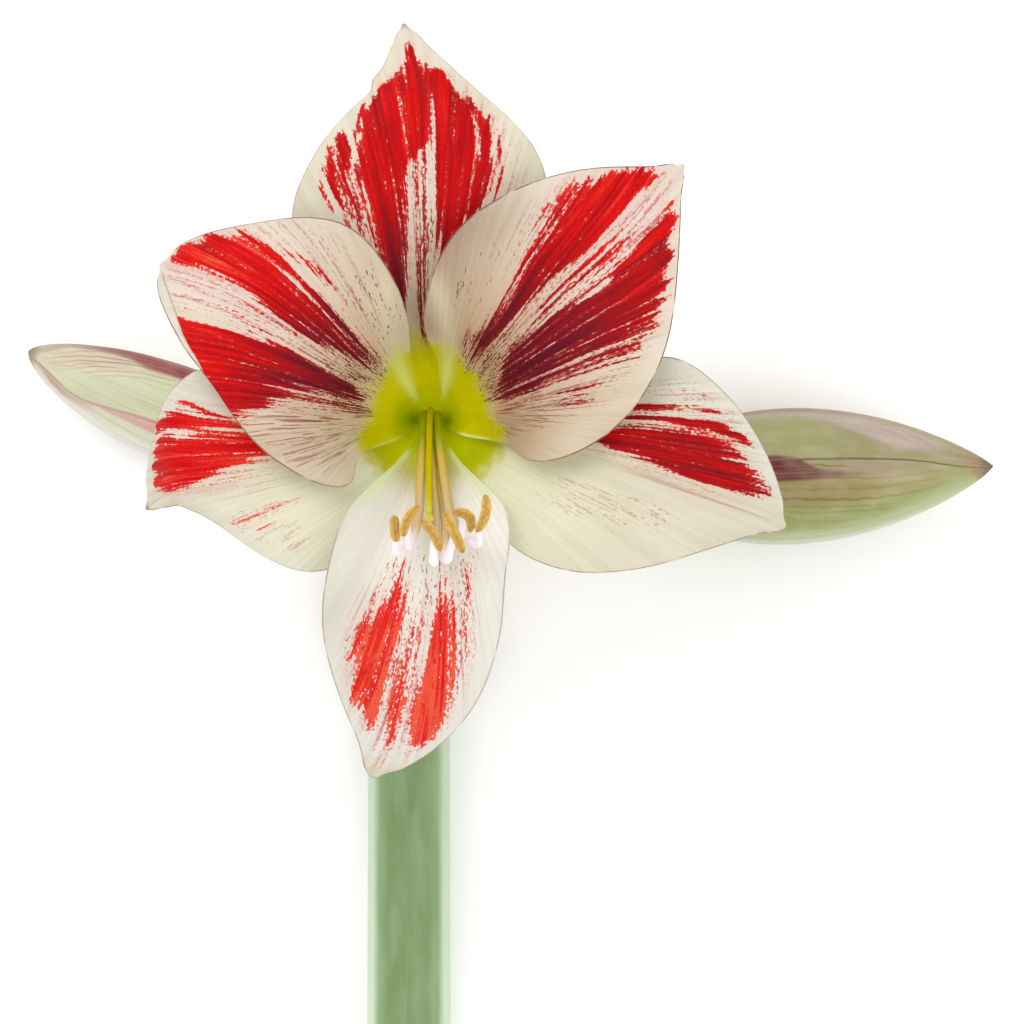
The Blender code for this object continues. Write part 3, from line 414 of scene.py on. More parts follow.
def painted(grid, base, *coats):
    """Colours for a grid: a base, and coats of (red, green, blue, amount) over it."""
    colours = np.tile(tone(*base), (*grid.shape, 1))
    for *shown, amount in coats:
        colours = blend_in(colours, tone(*shown), amount)
    return colours


def along(rows, shares):
    """Rows at shares of the way through a list of rows, on a Catmull-Rom curve."""
    table = np.array(rows, float)
    last = len(table) - 1
    place = np.asarray(shares, float) * last
    i = np.minimum(place.astype(int), last - 1)
    f = (place - i)[..., None]
    before, here, after, beyond = (table[np.clip(i + k, 0, last)] for k in (-1, 0, 1, 2))
    square = (2 * before - 5 * here + 4 * after - beyond) * f**2
    cube = (3 * here - before - 3 * after + beyond) * f**3
    return 0.5 * (2 * here + (after - before) * f + square + cube)


def band(share, place, unit, rows, soft):
    """How far points lie in a band, from 0 to its strength. unit is how many mm one step of place is."""
    table = np.array(rows, float)
    low, high = (np.interp(share, table[:, 0], table[:, k]) for k in (1, 2))
    strength = np.interp(share, table[:, 0], table[:, 3], left=0, right=0)
    inside = np.minimum((place - low) * unit / soft[0], (high - place) * unit / soft[1])
    return ramp(inside, -1, 1) * strength


def strongest(bands, share, across, half, soft):
    """The strongest of some bands at each point, all soft over this many mm."""
    return np.max([band(share, across, half, rows, (soft, soft)) for rows in bands], axis=0)


class Look:
    """One material, built node by node. A colour of three numbers is one that the screen shows."""

    def __init__(self, name):
        self.material = bpy.data.materials.new(name)
        self.material.use_nodes = True
        self.tree = self.material.node_tree
        self.tree.nodes.clear()

    def node(self, kind, inputs, **settings):
        made = self.tree.nodes.new("ShaderNode" + kind)
        for key, value in settings.items():
            setattr(made, key, value)
        for key, value in inputs.items():
            self.feed(made.inputs[key], value)
        return made

    def feed(self, socket, value):
        if isinstance(value, bpy.types.NodeSocket):
            self.tree.links.new(value, socket)
        elif socket.type == "RGBA" and len(value) == 3:
            socket.default_value = (*tone(*value), 1.0)
        else:
            socket.default_value = value

    def math(self, operation, a, b, c=0.0):
        return self.node("Math", {0: a, 1: b, 2: c}, operation=operation).outputs[0]

    def times(self, a, b):
        return self.math("MULTIPLY", a, b)

    def line(self, value, slope, base):
        return self.math("MULTIPLY_ADD", value, slope, base)

    def sway(self, fibre, size, base):
        """A base that a noise moves up and down by half this size."""
        return self.line(self.math("SUBTRACT", fibre, 0.5), size, base)

    def step(self, value, low, high):
        inputs = {"Value": value, "From Min": low, "From Max": high}
        return self.node("MapRange", inputs, interpolation_type="SMOOTHSTEP").outputs["Result"]

    def mix(self, amount, a, b, way="MIX"):
        return self.node("Mix", {0: amount, 6: a, 7: b}, data_type="RGBA", blend_type=way).outputs[2]

    def value(self, name):
        return self.node("Attribute", {}, attribute_name=name).outputs["Fac"]

    def ground(self):
        return self.node("Attribute", {}, attribute_name="ground").outputs["Color"]

    def noise(self, place, detail=2.0, rough=0.5):
        inputs = {"Vector": place, "Scale": 1.0, "Detail": detail, "Roughness": rough}
        return self.node("TexNoise", inputs).outputs["Fac"]

    def fibre(self, wide, high, seed=0.0, detail=2.0, rough=0.5):
        """A noise along and across a piece, in features of this many mm."""
        at = self.node("UVMap", {}, uv_map="Veins").outputs[0]
        scaled = {0: at, 1: (seed, seed * 0.37, seed), 3: (1 / wide, 1 / high, 1)}
        return self.noise(self.node("Mapping", scaled).outputs[0], detail, rough)

    def solid(self, size):
        """Texture coordinates in space, in features of this many mm."""
        at = self.node("TexCoord", {}).outputs["Object"]
        return self.node("Mapping", {0: at, 3: (1 / size / MM,) * 3}).outputs[0]

    def bump(self, height, distance, strength=1.0, under=None):
        inputs = {"Height": height, "Distance": distance * MM, "Strength": strength}
        if under is not None:
            inputs["Normal"] = under
        return self.node("Bump", inputs).outputs[0]

    def done(self, colour, rough, normal, gloss, through=0.0, lit=None, **fixed):
        """The shader: gloss over body colour, with a share of light let through a thin sheet, and a painted
        glow in the body colour where one is given.
        """
        inputs = {"Base Color": colour, "Roughness": rough, "Normal": normal, "Specular IOR Level": gloss}
        inputs.update(fixed)
        if lit is not None:
            inputs.update({"Emission Color": colour, "Emission Strength": lit})
        out = self.node("BsdfPrincipled", inputs).outputs[0]
        if through:
            thin = self.node("BsdfTranslucent", {"Color": colour, "Normal": normal})
            out = self.node("MixShader", {0: through, 1: out, 2: thin.outputs[0]}).outputs[0]
        self.node("OutputMaterial", {"Surface": out})
        return self.material


def build(name, points, faces, uv, values, material, replaces):
    """One piece from grids: points in mm, faces as corner lists, and values that the material reads."""
    mesh = bpy.data.meshes.new(name)
    mesh.from_pydata((points.reshape(-1, 3) * MM).tolist(), [], faces)
    mesh.shade_smooth()
    corners = np.empty(len(mesh.loops), int)
    mesh.loops.foreach_get("vertex_index", corners)
    layer = mesh.uv_layers.new(name="Veins")
    layer.data.foreach_set("uv", uv.reshape(-1, 2)[corners].astype(np.float32).ravel())
    for key, value in values.items():
        kind, field = "FLOAT", "value"
        if value.ndim == 3:
            kind, field = "FLOAT_COLOR", "color"
            value = np.dstack((value, np.ones(value.shape[:2])))
        layer = mesh.attributes.new(key, kind, "POINT")
        layer.data.foreach_set(field, value.astype(np.float32).ravel())
    piece = bpy.data.objects.new(name, mesh)
    mesh.materials.append(material)
    bpy.context.scene.collection.objects.link(piece)
    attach(piece, "root")
    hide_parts(*replaces)


def unit_vectors(vectors):
    return vectors / np.maximum(np.linalg.norm(vectors, axis=-1, keepdims=True), 1e-9)


def grid_of(*values):
    """Values that are spread over one grid, side by side at each of its points."""
    return np.stack(np.broadcast_arrays(*values), -1)


def sheet(name, points, thickness, uv, values, material, replaces, up):
    """A closed thin solid round a grid of middle points."""
    rows, columns = points.shape[:2]
    normals = unit_vectors(np.cross(np.gradient(points, axis=0), np.gradient(points, axis=1)))
    # The columns meet at the tip, so its last rows share one direction
    normals[-3:] = normals[-4:-3].mean(axis=1, keepdims=True)
    normals = unit_vectors(normals)
    if (normals @ np.array(up)).mean() < 0:
        normals = -normals
    half = normals * (thickness / 2)[..., None]
    count = rows * columns
    index = np.arange(count).reshape(rows, columns)
    quads = np.stack((index[:-1, :-1], index[:-1, 1:], index[1:, 1:], index[1:, :-1]), -1).reshape(-1, 4)
    border = np.concatenate((index[0, :-1], index[:-1, -1], index[-1, :0:-1], index[:0:-1, 0]))
    after = np.roll(border, -1)
    rim = np.stack((border, after, after + count, border + count), -1)
    if np.cross(points[0, 1] - points[0, 0], points[1, 0] - points[0, 0]) @ normals[0, 0] < 0:
        quads = quads[:, ::-1]
    else:
        rim = rim[:, ::-1]
    faces = np.concatenate((quads, quads[:, ::-1] + count, rim)).tolist()
    doubled = {key: np.concatenate((value, value)) for key, value in values.items()}
    doubled["back"] = np.repeat((0.0, 1.0), count).reshape(2 * rows, columns)
    shell = np.concatenate((points + half, points - half))
    build(name, shell, faces, np.concatenate((uv, uv)), doubled, material, replaces)


def loft(name, rings, uv, values, material, replaces):
    """A solid through rings of points, capped at both ends."""
    index = np.arange(rings.shape[0] * rings.shape[1]).reshape(rings.shape[:2])
    below, above = index[:-1], index[1:]
    quads = np.stack((below, np.roll(below, -1, axis=1), np.roll(above, -1, axis=1), above), -1)
    faces = quads.reshape(-1, 4).tolist() + [index[0, ::-1].tolist(), index[-1].tolist()]
    build(name, rings, faces, uv, values, material, replaces)


def lathe(height, reach, turns, turning=np.eye(3)):
    """Rings round an upright axis, which is then turned."""
    return grid_of(reach * np.cos(turns), reach * np.sin(turns), height) @ turning.T


def tube_rings(route, radii, sides, shape=lambda turns, share: np.ones(len(turns))):
    """Rings round a route, with a frame that is carried along it. Turn 0 faces up at the start."""
    ways = unit_vectors(np.gradient(route, axis=0))
    side = np.cross(ways[0], (0, 0, 1))
    if np.linalg.norm(side) < 1e-3:
        side = np.cross(ways[0], (0, 1, 0))
    rings = []
    turns = circle(sides)
    for k, (at, way) in enumerate(zip(route, ways)):
        side = side - way * (side @ way)
        side /= np.linalg.norm(side)
        over = np.cross(side, way)
        reach = radii[k] * shape(turns, k / (len(route) - 1))
        rings.append(at + reach[:, None] * (np.cos(turns)[:, None] * over - np.sin(turns)[:, None] * side))
    return np.array(rings)


def length_along(route):
    """How far each point of a route is from its start, as a column."""
    steps = np.linalg.norm(np.diff(route, axis=0), axis=-1)
    return np.concatenate(((0,), np.cumsum(steps)))[:, None]


def tube_uv(route, radii, sides):
    return grid_of(length_along(route), circle(sides) * np.mean(radii))


def fine_route(route, count):
    route = [tuple(p) for p in route]
    middle = along(route[1:-1], np.linspace(0, 1, count - 2))
    return np.concatenate(([route[0]], middle, [route[-1]]))


def rough(points, size, amount, seed):
    """A small seeded unevenness for points in mm."""
    away = Vector((seed, seed * 2, -seed))
    lift = np.array([noise.noise(Vector(p) / size + away) for p in points.reshape(-1, 3)])
    return lift.reshape(points.shape[:-1]) * amount


# Camera, straight above the flower. It sees a picture of this width at this distance
CAMERA_DISTANCE, PICTURE_WIDTH = 1300, 256
camera_data = bpy.data.cameras.new("camera")
camera_data.sensor_width = 36
camera_data.lens = camera_data.sensor_width * CAMERA_DISTANCE / PICTURE_WIDTH
camera_data.clip_end = 20
camera = bpy.data.objects.new("camera", camera_data)
camera.location = (0.0277, 0.0161, 1.410)
bpy.context.scene.collection.objects.link(camera)
bpy.context.scene.camera = camera
bpy.context.scene.view_settings.view_transform = "Standard"


# Tepals
def tepal_look():
    look = Look("tepal")
    red, wash, ripe, dots, dashy, ink, lit = (
        look.value(key) for key in ("red", "wash", "tone", "dots", "dashy", "ink", "lit"))
    grain = look.fibre(1.15, 0.42, 7.7, 2, 0.65)
    strand = look.fibre(15, 0.55, 3.1, 3, 0.6)
    streak = look.times(look.math("SUBTRACT", look.fibre(70, 1.35), 0.5), 3.2)
    streak = look.sway(grain, look.value("grainy"), look.sway(strand, 1.4, streak))
    level = look.math("ADD", look.line(red, 1.3, -0.14), streak)
    reds = look.times(look.step(level, 0.38, 0.60), look.step(red, 0.02, 0.2))
    fringe = look.sway(grain, 1.2, look.math("ADD", look.times(wash, 1.1), streak))
    fringe = look.times(look.step(fringe, 0.40, 0.75), look.step(wash, 0.02, 0.25))

    thread = look.sway(grain, 0.55, look.fibre(36, 0.62, 55.0, 2, 0.55))
    thread = look.times(look.step(thread, 0.52, 0.66), look.value("pink"))

    spots = look.sway(look.fibre(1.5, 0.55, 12.9, 1), look.line(dashy, -1.2, 1.5), dots)
    spots = look.sway(look.fibre(9.0, 0.62, 21.3, 1), look.line(dashy, 1.8, 1.4), spots)
    spots = look.times(look.step(spots, 0.70, 0.82), look.step(dots, 0.05, 0.3))

    hue = look.sway(look.fibre(34, 0.75, 41.0, 3, 0.6), look.value("lines"), ripe)
    colours = look.node("ValToRGB", {0: look.sway(grain, 0.35, hue)})
    stops = colours.color_ramp.elements
    stops[0].color, stops[1].color = (*tone(98, 14, 32), 1.0), (*tone(240, 92, 66), 1.0)
    for at, shown in ((0.22, (122, 14, 30)), (0.44, (166, 4, 12)), (0.60, (202, 2, 6)), (0.72, (222, 8, 8)),
                      (0.86, (230, 46, 34))):
        stops.new(at).color = (*tone(*shown), 1.0)
    red_colour = look.mix(look.times(look.step(level, 0.95, 0.45), 0.5), colours.outputs[0], (224, 84, 76))

    veins = look.times(look.step(look.fibre(60, 0.9, 5.2, 1, 0.4), 0.36, 0.68), look.step(lit, 1.0, 0.5))
    blotch = look.times(look.step(look.fibre(14, 6, 1.7, 3), 0.35, 0.75), 0.4)
    colour = look.mix(look.times(veins, 0.42), look.ground(), (0.86, 0.85, 0.80, 1), "MULTIPLY")
    colour = look.mix(blotch, colour, (0.92, 0.90, 0.86, 1), "MULTIPLY")
    colour = look.mix(look.times(wash, 0.34), colour, (232, 176, 164))
    colour = look.mix(look.times(fringe, look.times(wash, 0.75)), colour, (224, 128, 116))
    colour = look.mix(thread, colour, look.mix(ripe, (150, 50, 60), (222, 104, 104)))
    colour = look.mix(reds, colour, red_colour)
    spot_colour = look.mix(ripe, (112, 40, 24), (204, 46, 38))
    spot_colour = look.mix(look.step(ink, 0.6, 0.45), spot_colour, (196, 84, 62))
    colour = look.mix(look.times(spots, ink), colour, spot_colour)
    margin = look.times(look.step(look.value("edge"), 0.40, 0.25), look.value("picotee"))
    margin = look.times(margin, look.step(look.fibre(5, 5, 9.1, 1), 0.25, 0.5))
    colour = look.mix(margin, colour, (140, 40, 56))
    back = look.times(look.value("back"), look.math("SUBTRACT", 1.0, lit))
    colour = look.mix(back, colour, look.mix(0.55, colour, (226, 216, 190)))

    relief = look.bump(look.fibre(60, 1.3, 2.3, 2, 0.45), 0.35, 0.5)
    relief = look.bump(grain, 0.06, 0.5, relief)
    return look.done(colour, look.line(strand, 0.25, 0.40), relief, 0.10, 0.25, look.times(lit, 0.5))


def tepal_grid(name, share, across):
    """Middle points of a tepal. A share under 0 is its foot, which lines the tube."""
    tepal = TEPALS[name]
    ring = tepal["ring"]
    foot = np.clip(-share / TEPAL_FOOT, 0, 1)
    share = np.clip(share, 0, 1)
    reach, drop, low, midrib, high = np.moveaxis(along(tepal["rows"], share), -1, 0)
    wider = 6 * fade(share, 0.02, 0.2)
    side = np.where(across > 0, high + wider - midrib, midrib - low + wider)
    turn = np.radians(midrib + side * across)
    if name == "top":
        nick = 0.8 * bell(share - 0.79, 0.022) - 0.5 * bell(share - 0.745, 0.02)
        turn = turn + np.radians(nick) * np.clip(across, 0, 1) ** 4
    climb = ring["rise"] * (1 - np.exp(-(reach - ring["mouth"]) / ring["flare"]))
    body = np.sin(np.pi * np.minimum(share, 0.96)) ** 0.8
    size, count, phase = tepal["wave"]
    shape = tepal["cup"] * across**2 - tepal["groove"] * bell(across, 0.22)
    shape = shape + size * np.sin(2 * np.pi * count * share + phase + 1.3 * across) * np.abs(across) ** 3
    height = THROAT + GAP + climb - drop + body * shape - 10.0 * foot
    reach = reach - foot**0.85 * (4.1 if ring is OUTER_RING else 3.1)
    reach = reach - 1.3 * across**2 * ramp(share, 0.94, 1)
    return lathe(height, reach, turn) + BLOOM, reach, np.radians(side) * reach


def red_level(name, share, across, half, inner, outer):
    """How red a tepal is, with bands that fade over these many mm on their two sides."""
    red = np.zeros_like(share)
    for rows in STREAKS[name]:
        soft = (inner, outer) if (rows[:, 1] + rows[:, 2]).mean() > 0 else (outer, inner)
        if (rows[:, 2] - rows[:, 1]).max() < 0.14:
            soft = (min(inner, 0.9), min(inner, 0.9))
        red = np.maximum(red, band(share, across, half, rows, soft))
    return red


def turn_round(points, x=BLOOM_X, y=BLOOM_Y):
    return np.degrees(np.arctan2(points[..., 1] - y, points[..., 0] - x))


def behind(name, points):
    """Where a tepal lies over one of the outer ring, and how red that one is there, for painted shade and red
    painted as showing through.
    """
    reach = np.hypot(points[..., 0] - BLOOM_X, points[..., 1] - BLOOM_Y)
    over, reds = np.zeros_like(reach), np.zeros_like(reach)
    line = np.linspace(0, 1, 200)
    for other, tepal in TEPALS.items():
        if tepal["ring"] is not OUTER_RING or other == name:
            continue
        rows = along(tepal["rows"], line)
        share = np.interp(reach, rows[:, 0], line)
        low, midrib, high = (np.interp(share, line, rows[:, k]) for k in (2, 3, 4))
        off = wrap(turn_round(points) - midrib)
        side = np.where(off > 0, high - midrib, midrib - low)
        across = off / side
        half = np.radians(side) * reach
        here = ramp((1 - np.abs(across)) * half, -3, 8) * fade(reach, 46, 66) * ramp(reach, 14, 24)
        over = np.maximum(over, here)
        reds = np.maximum(reds, here * red_level(other, share, across, half, 3.5, 3.5))
    return over, reds


def folded(share, across, half):
    """Where the upper left tepal's margin is painted as turned down, and a line of painted shade along the
    edge of that zone.
    """
    line = np.interp(share, (0.62, 0.66, 0.7, 0.75, 0.8, 0.85, 0.9, 0.95),
                     (1.2, 1.0, 0.93, 0.88, 0.75, 0.6, 0.45, 0.2))
    off = (across - line) * half
    near = ramp(share, 0.64, 0.68) * fade(share, 0.9, 0.95)
    return ramp(off, -0.2, 0.2) * near, bell(off, 0.3) * near


BEIGE, IVORY, SHADE_GREEN = (214, 192, 152), (230, 228, 206), (150, 172, 2)
# How far from the bloom's axis the yellow-green star of the throat starts to end, and ends
STAR = {"top": (17, 26), "upper_right": (14.8, 17.8), "upper_left": (13.8, 17.4), "bottom": (9, 24),
        "lower_left": (15.5, 22), "lower_right": (17, 23.5)}


def tepal_ground(name, share, across, reach, half, points):
    """The body colour of a tepal under its streaks, with painted shade and painted highlights in it."""
    coats = []

    def paint(colour, amount):
        coats.append((*colour, amount))

    turn = turn_round(points)
    wide = np.abs(across)
    right = name == "upper_right"
    lobed = name in ("upper_left", "upper_right")
    outward = -across if name in ("upper_right", "lower_right") else across
    if lobed:
        # Beige towards the base: partly the tepal's own tone, partly painted shade
        paint((204, 172, 130) if right else BEIGE, fade(share, 0.28, 0.66) * 0.9)
        paint(IVORY, ramp(wide, 0.55, 1.0) * fade(share, 0.2, 0.6) * 0.4)
        paint((232, 220, 196), ramp(outward, 0.4, 0.9) * ramp(reach, 20, 31) * 0.9)
    elif name == "top":
        # Beige towards the base: partly the tepal's own tone, partly painted shade
        paint(BEIGE, fade(share, 0.24, 0.5) * 0.55)
        paint(IVORY, ramp(wide, 0.5, 0.9) * 0.6)
        # Grey brown at the tip: partly its own colour, partly painted shade
        paint((150, 140, 128), ramp(share, 0.955, 1.0) * 0.8)
    elif name == "bottom":
        paint((237, 236, 228), 0.9)
        paint((220, 218, 206), ramp(-across, 0.3, 0.6) * fade(share, 0.6, 0.8) * 0.8)
        paint((222, 206, 170), ramp(share, 0.88, 1.0) * 0.6)
    else:
        paint((226, 233, 192), fade(share, 0.2, 0.62) * 0.85)
        paint(*(((234, 234, 216), 0.4) if name == "lower_left" else ((212, 206, 172), 0.3)))
        paint(IVORY, ramp(outward, -0.2, 0.6) * 0.5)
        paint((230, 230, 216), ramp(-outward, 0.45, 0.8) * 0.8)
        paint((222, 216, 196), ramp(share, 0.4, 0.6) * fade(wide, 0.1, 0.4) * 0.5)
        # Painted shade: a thin brown line along the midrib groove
        crease_shade = bell(across, 0.014) * ramp(share, 0.42, 0.6) * fade(share, 0.9, 1)
        paint((184, 158, 122), crease_shade * (0.75 if name == "lower_right" else 0.35))
        if name == "lower_left":
            paint((142, 142, 108), ramp(share, 0.95, 0.99) * 0.85)
    if right:
        # Painted shade: darker tan on the outer lobe near the throat, where it lies over the lower right
        # tepal
        paint((180, 144, 102), ramp(outward, 0.5, 0.8) * fade(reach, 23, 37) * 0.6)
        paint((234, 228, 216), ramp(outward, 0.6, 0.9) * ramp(share, 0.5, 0.7) * 0.7)
    if lobed:
        paint((236, 218, 210), fade(wide, 0.1, 0.4) * ramp(share, 0.35, 0.7) * 0.7)
        # Painted shade where the tepal lies over one of the outer ring, and that one's red painted as showing
        # through
        over, reds = behind(name, points)
        paint((206, 182, 146), over * (1 - 0.3 * ramp(reach, 22, 34)) * (0.42 if right else 0.3))
        paint((190, 140, 112), reds * 0.25)
    if right:
        # Painted shadow along the side next to the top tepal
        paint((164, 134, 112), ramp(across, 0.45, 1.0) * ramp(share, 0.2, 0.3) * fade(share, 0.5, 0.72) * 0.6)
    start, end = STAR[name]
    bay = reach + rough(points, 2.6, 1.6, 5.0)
    if lobed:
        corner = -turn if right else wrap(turn + 175)
        bay = bay - 2.5 * ramp(-outward, 0.25, 0.7) - 3.8 * ramp(corner, 0, 13)
    if name == "top":
        bay = reach + 7 * np.clip(wide - 0.15, 0, 1)
    if name == "bottom":
        bay = reach + 4 * np.clip(wide - 0.3, 0, 1)
    paint((206, 204, 84), fade(bay, start, end))
    paint((200, 194, 2), fade(bay, start - 1, end - 0.8))
    if name == "bottom":
        paint((158, 190, 2), fade(bay, start - 3, end - 6) * 0.45)
        # Painted highlight: a pale green line along both margins near the throat
        paint((220, 232, 176), ramp(wide, 0.72, 0.92) * ramp(reach, 9, 12) * fade(reach, 22, 30) * 0.7)
    if name in ("lower_left", "lower_right"):
        shown, level = ((202, 202, 2), 200 - turn) if name == "lower_left" else ((186, 192, 2), turn + 20)
        paint(shown, fade(bay, start - 2, end - 1) * 0.9)
        # Painted shade: greener where the upper tepal's margin lies over this one near the throat
        paint((150, 188, 2), ramp(wrap(level), -12, 10) * fade(reach, 12, 19) * 0.6)
    if lobed:
        beam = 56 + 0.95 * reach if right else 130 - 0.62 * reach
        aside = np.abs(wrap(turn - beam)) * np.radians(1) * reach
        ray = bell(aside, 0.35 + 0.11 * reach) * ramp(reach, 4, 7)
        paint((216, 220, 130), ray * fade(reach, 15, 22) * 0.85)
        paint((228, 216, 184), ray * ramp(reach, 15, 22) * fade(reach, 30, 42) * 0.8)
        # Painted highlight: a pale green line along the outer margin near the throat
        rim = fade((1 - wide) * half, 0.3, 1.0) * ramp(reach, 8, 10) * fade(reach, 14, 19)
        paint((222, 236, 150), rim * ramp(outward, 0.3, 0.5) * (0.9 if right else 0.3))
    # Painted shade: dark green near the axis to the west and east and on the feet, where the tube's walls lie
    # in shade
    west, east = bell(wrap(turn - 186), 36), bell(wrap(turn + 12), 36)
    deep_shade = np.maximum(west, east)
    paint(SHADE_GREEN, fade(reach, 5.5, 12) * west * 0.9)
    paint(SHADE_GREEN, fade(reach, 4, 10) * east * 0.9)
    paint((212, 214, 8), fade(reach, 3.5, 8) * (1 - deep_shade) * 0.7)
    foot = painted(share, (206, 206, 8), (136, 150, 3, deep_shade))
    return blend_in(painted(share, (232, 222, 206), *coats), foot, ramp(-share, 0.0, 0.05) * 0.9)


def lobe_fan(name, share, points, fan):
    """Streak coordinates whose lines fan out from a corner of the throat into a lobe."""
    turn, way = {"upper_right": (4.0, -1), "upper_left": (190.0, 1)}[name]
    midrib = along(TEPALS[name]["rows"], np.clip(share, 0, 1))[..., 3]
    corner = 13
    from_x = BLOOM_X + corner * math.cos(math.radians(turn))
    from_y = BLOOM_Y + corner * math.sin(math.radians(turn))
    past = wrap(turn_round(points) - turn) * way
    aside = np.maximum(wrap(turn_round(points, from_x, from_y) - turn) * way, 0)
    edge = np.radians(turn - midrib) * FAN_REACH
    return np.where(past > 0, edge + way * np.radians(aside) * 29, fan)


def ripeness(name, share, across):
    """How light the red of the streaks is, from maroon at 0 to orange red at 1."""
    if name == "top":
        return ramp(share, 0.2, 0.5) * 0.58
    if name == "bottom":
        return 0.74 + 0.22 * ramp(share, 0.4, 0.7)
    if name == "lower_left":
        return 0.72 + 0.35 * ramp(across, 0, 0.3)
    if name == "lower_right":
        return 0.45 + 0.35 * ramp(-across, 0, 0.3)
    ripe = ramp(share, 0.24, 0.72) * 0.66
    if name == "upper_left":
        return ripe + 0.08 * ramp(-across, 0.0, 0.2) * ramp(share, 0.4, 0.6)
    return ripe - 0.13 * ramp(-across, 0.0, 0.2) * fade(share, 0.75, 0.9)


def make_tepals():
    look = tepal_look()
    rows, columns = 150, 96
    line = np.concatenate((np.linspace(-TEPAL_FOOT, 0, 12)[:-1], np.linspace(0, 1, rows + 1)))
    width = crowded(columns + 1) * 0.35 + np.linspace(-1, 1, columns + 1) * 0.65
    share, across = np.meshgrid(line, width, indexing="ij")
    for name in TEPALS:
        low = name in ("lower_left", "lower_right")
        points, reach, half = tepal_grid(name, share, across)
        length = np.linalg.norm(np.diff(points[:, columns // 2], axis=0), axis=-1).sum()
        fan = half / np.maximum(reach, 1) * across * (LOW_FAN_REACH if low else FAN_REACH)
        lobe_side = {"upper_right": -across, "upper_left": across}.get(name, 0 * share - 1)
        if name in ("upper_right", "upper_left"):
            fan = lobe_fan(name, share, points, fan)
        lobe = ramp(lobe_side, 0.35, 0.6)
        # Painted glow near the throat, and further out on the lower tepals, to lighten the shade there
        lit = fade(reach, 9, 22)
        if low or name == "bottom":
            lit = np.maximum(lit, 0.5 * fade(reach, 22, 60))
        picotee = {"upper_right": 0.9, "upper_left": 0.8, "top": 0.4, "lower_right": 0.6}.get(name, 0.5)
        values = {
            "ground": tepal_ground(name, share, across, reach, half, points),
            "red": red_level(name, share, across, half, 1.6, FEATHER.get(name, 4.5)),
            "dots": strongest(DOTS[name], share, across, half, 1.6) * ramp(reach, 12.5, 15),
            "tone": ripeness(name, share, across),
            "wash": red_level(name, share, across, half, 5.0, 7.5),
            "grainy": (2.7 if name == "bottom" else 1.5) + 0 * share,
            "lines": {"top": 1.1, "bottom": 1.2}.get(name, 1.3) + 0 * share,
            "pink": strongest(PINK[name], share, across, half, 3.0),
            "dashy": lobe + (0.2 if low else 0),
            "ink": {"lower_left": 0.42, "lower_right": 0.42, "bottom": 0.8}.get(name, 0.9) - 0.32 * lobe,
            "lit": lit,
            "edge": np.minimum((1 - np.abs(across)) * half, (1 - share) * length * 0.6),
            "picotee": picotee * ramp(share, 0.3, 0.5),
        }
        if name == "upper_left":
            bent, fold_shade = folded(share, across, half)
            values.update({key: values[key] * (1 - bent) for key in ("red", "wash", "pink")})
            # The bent margin is painted paler, and its edge line is painted shade
            for shown, amount in (((226, 222, 204), bent), ((182, 150, 142), fold_shade * 0.8)):
                values["ground"] = blend_in(values["ground"], tone(*shown), amount)
        thickness = 0.32 + 0.58 * fade(np.abs(across), 0.2, 1.0) * (1 - 0.4 * share)
        sheet(f"open_tepal_{name}", points, thickness, grid_of(share * length, fan), values, look,
              [f"tepal_{name}"], (0, 0, 1))


# Throat, stamens and style
def plain_look(name, spread, wide, high, rough_level, relief, through, lit):
    """A body colour read from the mesh, with fine fibres along the piece, and a painted glow."""
    look = Look(name)
    fibre = look.fibre(wide, high, 0.0, 3, 0.55)
    cloud = look.fibre(wide * 0.6, high * 5, 4.4)
    colour = look.ground()
    for threads, shade in ((fibre, (0.30, 0.28, 0.20, 1)), (cloud, (0.40, 0.42, 0.30, 1))):
        colour = look.mix(look.times(look.step(threads, 0.35, 0.7), spread), colour, shade, "MULTIPLY")
    rough_level = look.line(fibre, 0.2, rough_level - 0.1)
    return look.done(colour, rough_level, look.bump(fibre, relief), 0.05, through, lit)


def make_tube():
    """The short tube under the tepals, whose feet line its mouth."""
    inner = [(3.25, TUBE_FLOOR), (5.0, THROAT - 7), (6.6, THROAT - 4), (7.9, THROAT - 1.2), (8.75, THROAT)]
    outer = [(9.1, THROAT - 0.2), (8.0, THROAT - 4.5), (6.4, THROAT - 10.0), (5.6, TUBE_FOOT)]
    line = np.concatenate(([(0.02, TUBE_FLOOR)], along(inner, np.linspace(0, 1, 40)),
                           along(outer, np.linspace(0, 1, 30)), [(0.02, TUBE_FOOT)]))
    turns = circle(144)
    radius, height = line[:, :1] + 0 * turns, line[:, 1:] + 0 * turns
    # Painted shade: darker green on the tube's walls in two patches, west and east, and darker further down
    # the tube
    shade_blobs = [bell(np.cos((turns - math.radians(middle)) / 2) ** 2 - 1, 0.12) for middle in (186, -14)]
    deep_shade = painted(height, (184, 186, 6), (138, 150, 3, np.maximum(*shade_blobs)))
    ground = blend_in(painted(height, (200, 202, 4)), deep_shade, ramp(THROAT - height, -1, 5))
    # The throat gets a painted glow, to lighten the shade in the tube
    look = plain_look("throat", 0.08, 6, 0.8, 0.5, 0.1, 0.25, 0.75)
    rings, uv = lathe(height, radius, turns) + BLOOM, grid_of(height, turns * 6)
    loft("throat_tube", rings[:, ::-1], uv[:, ::-1], {"ground": ground[:, ::-1]}, look, ["perianth_tube"])


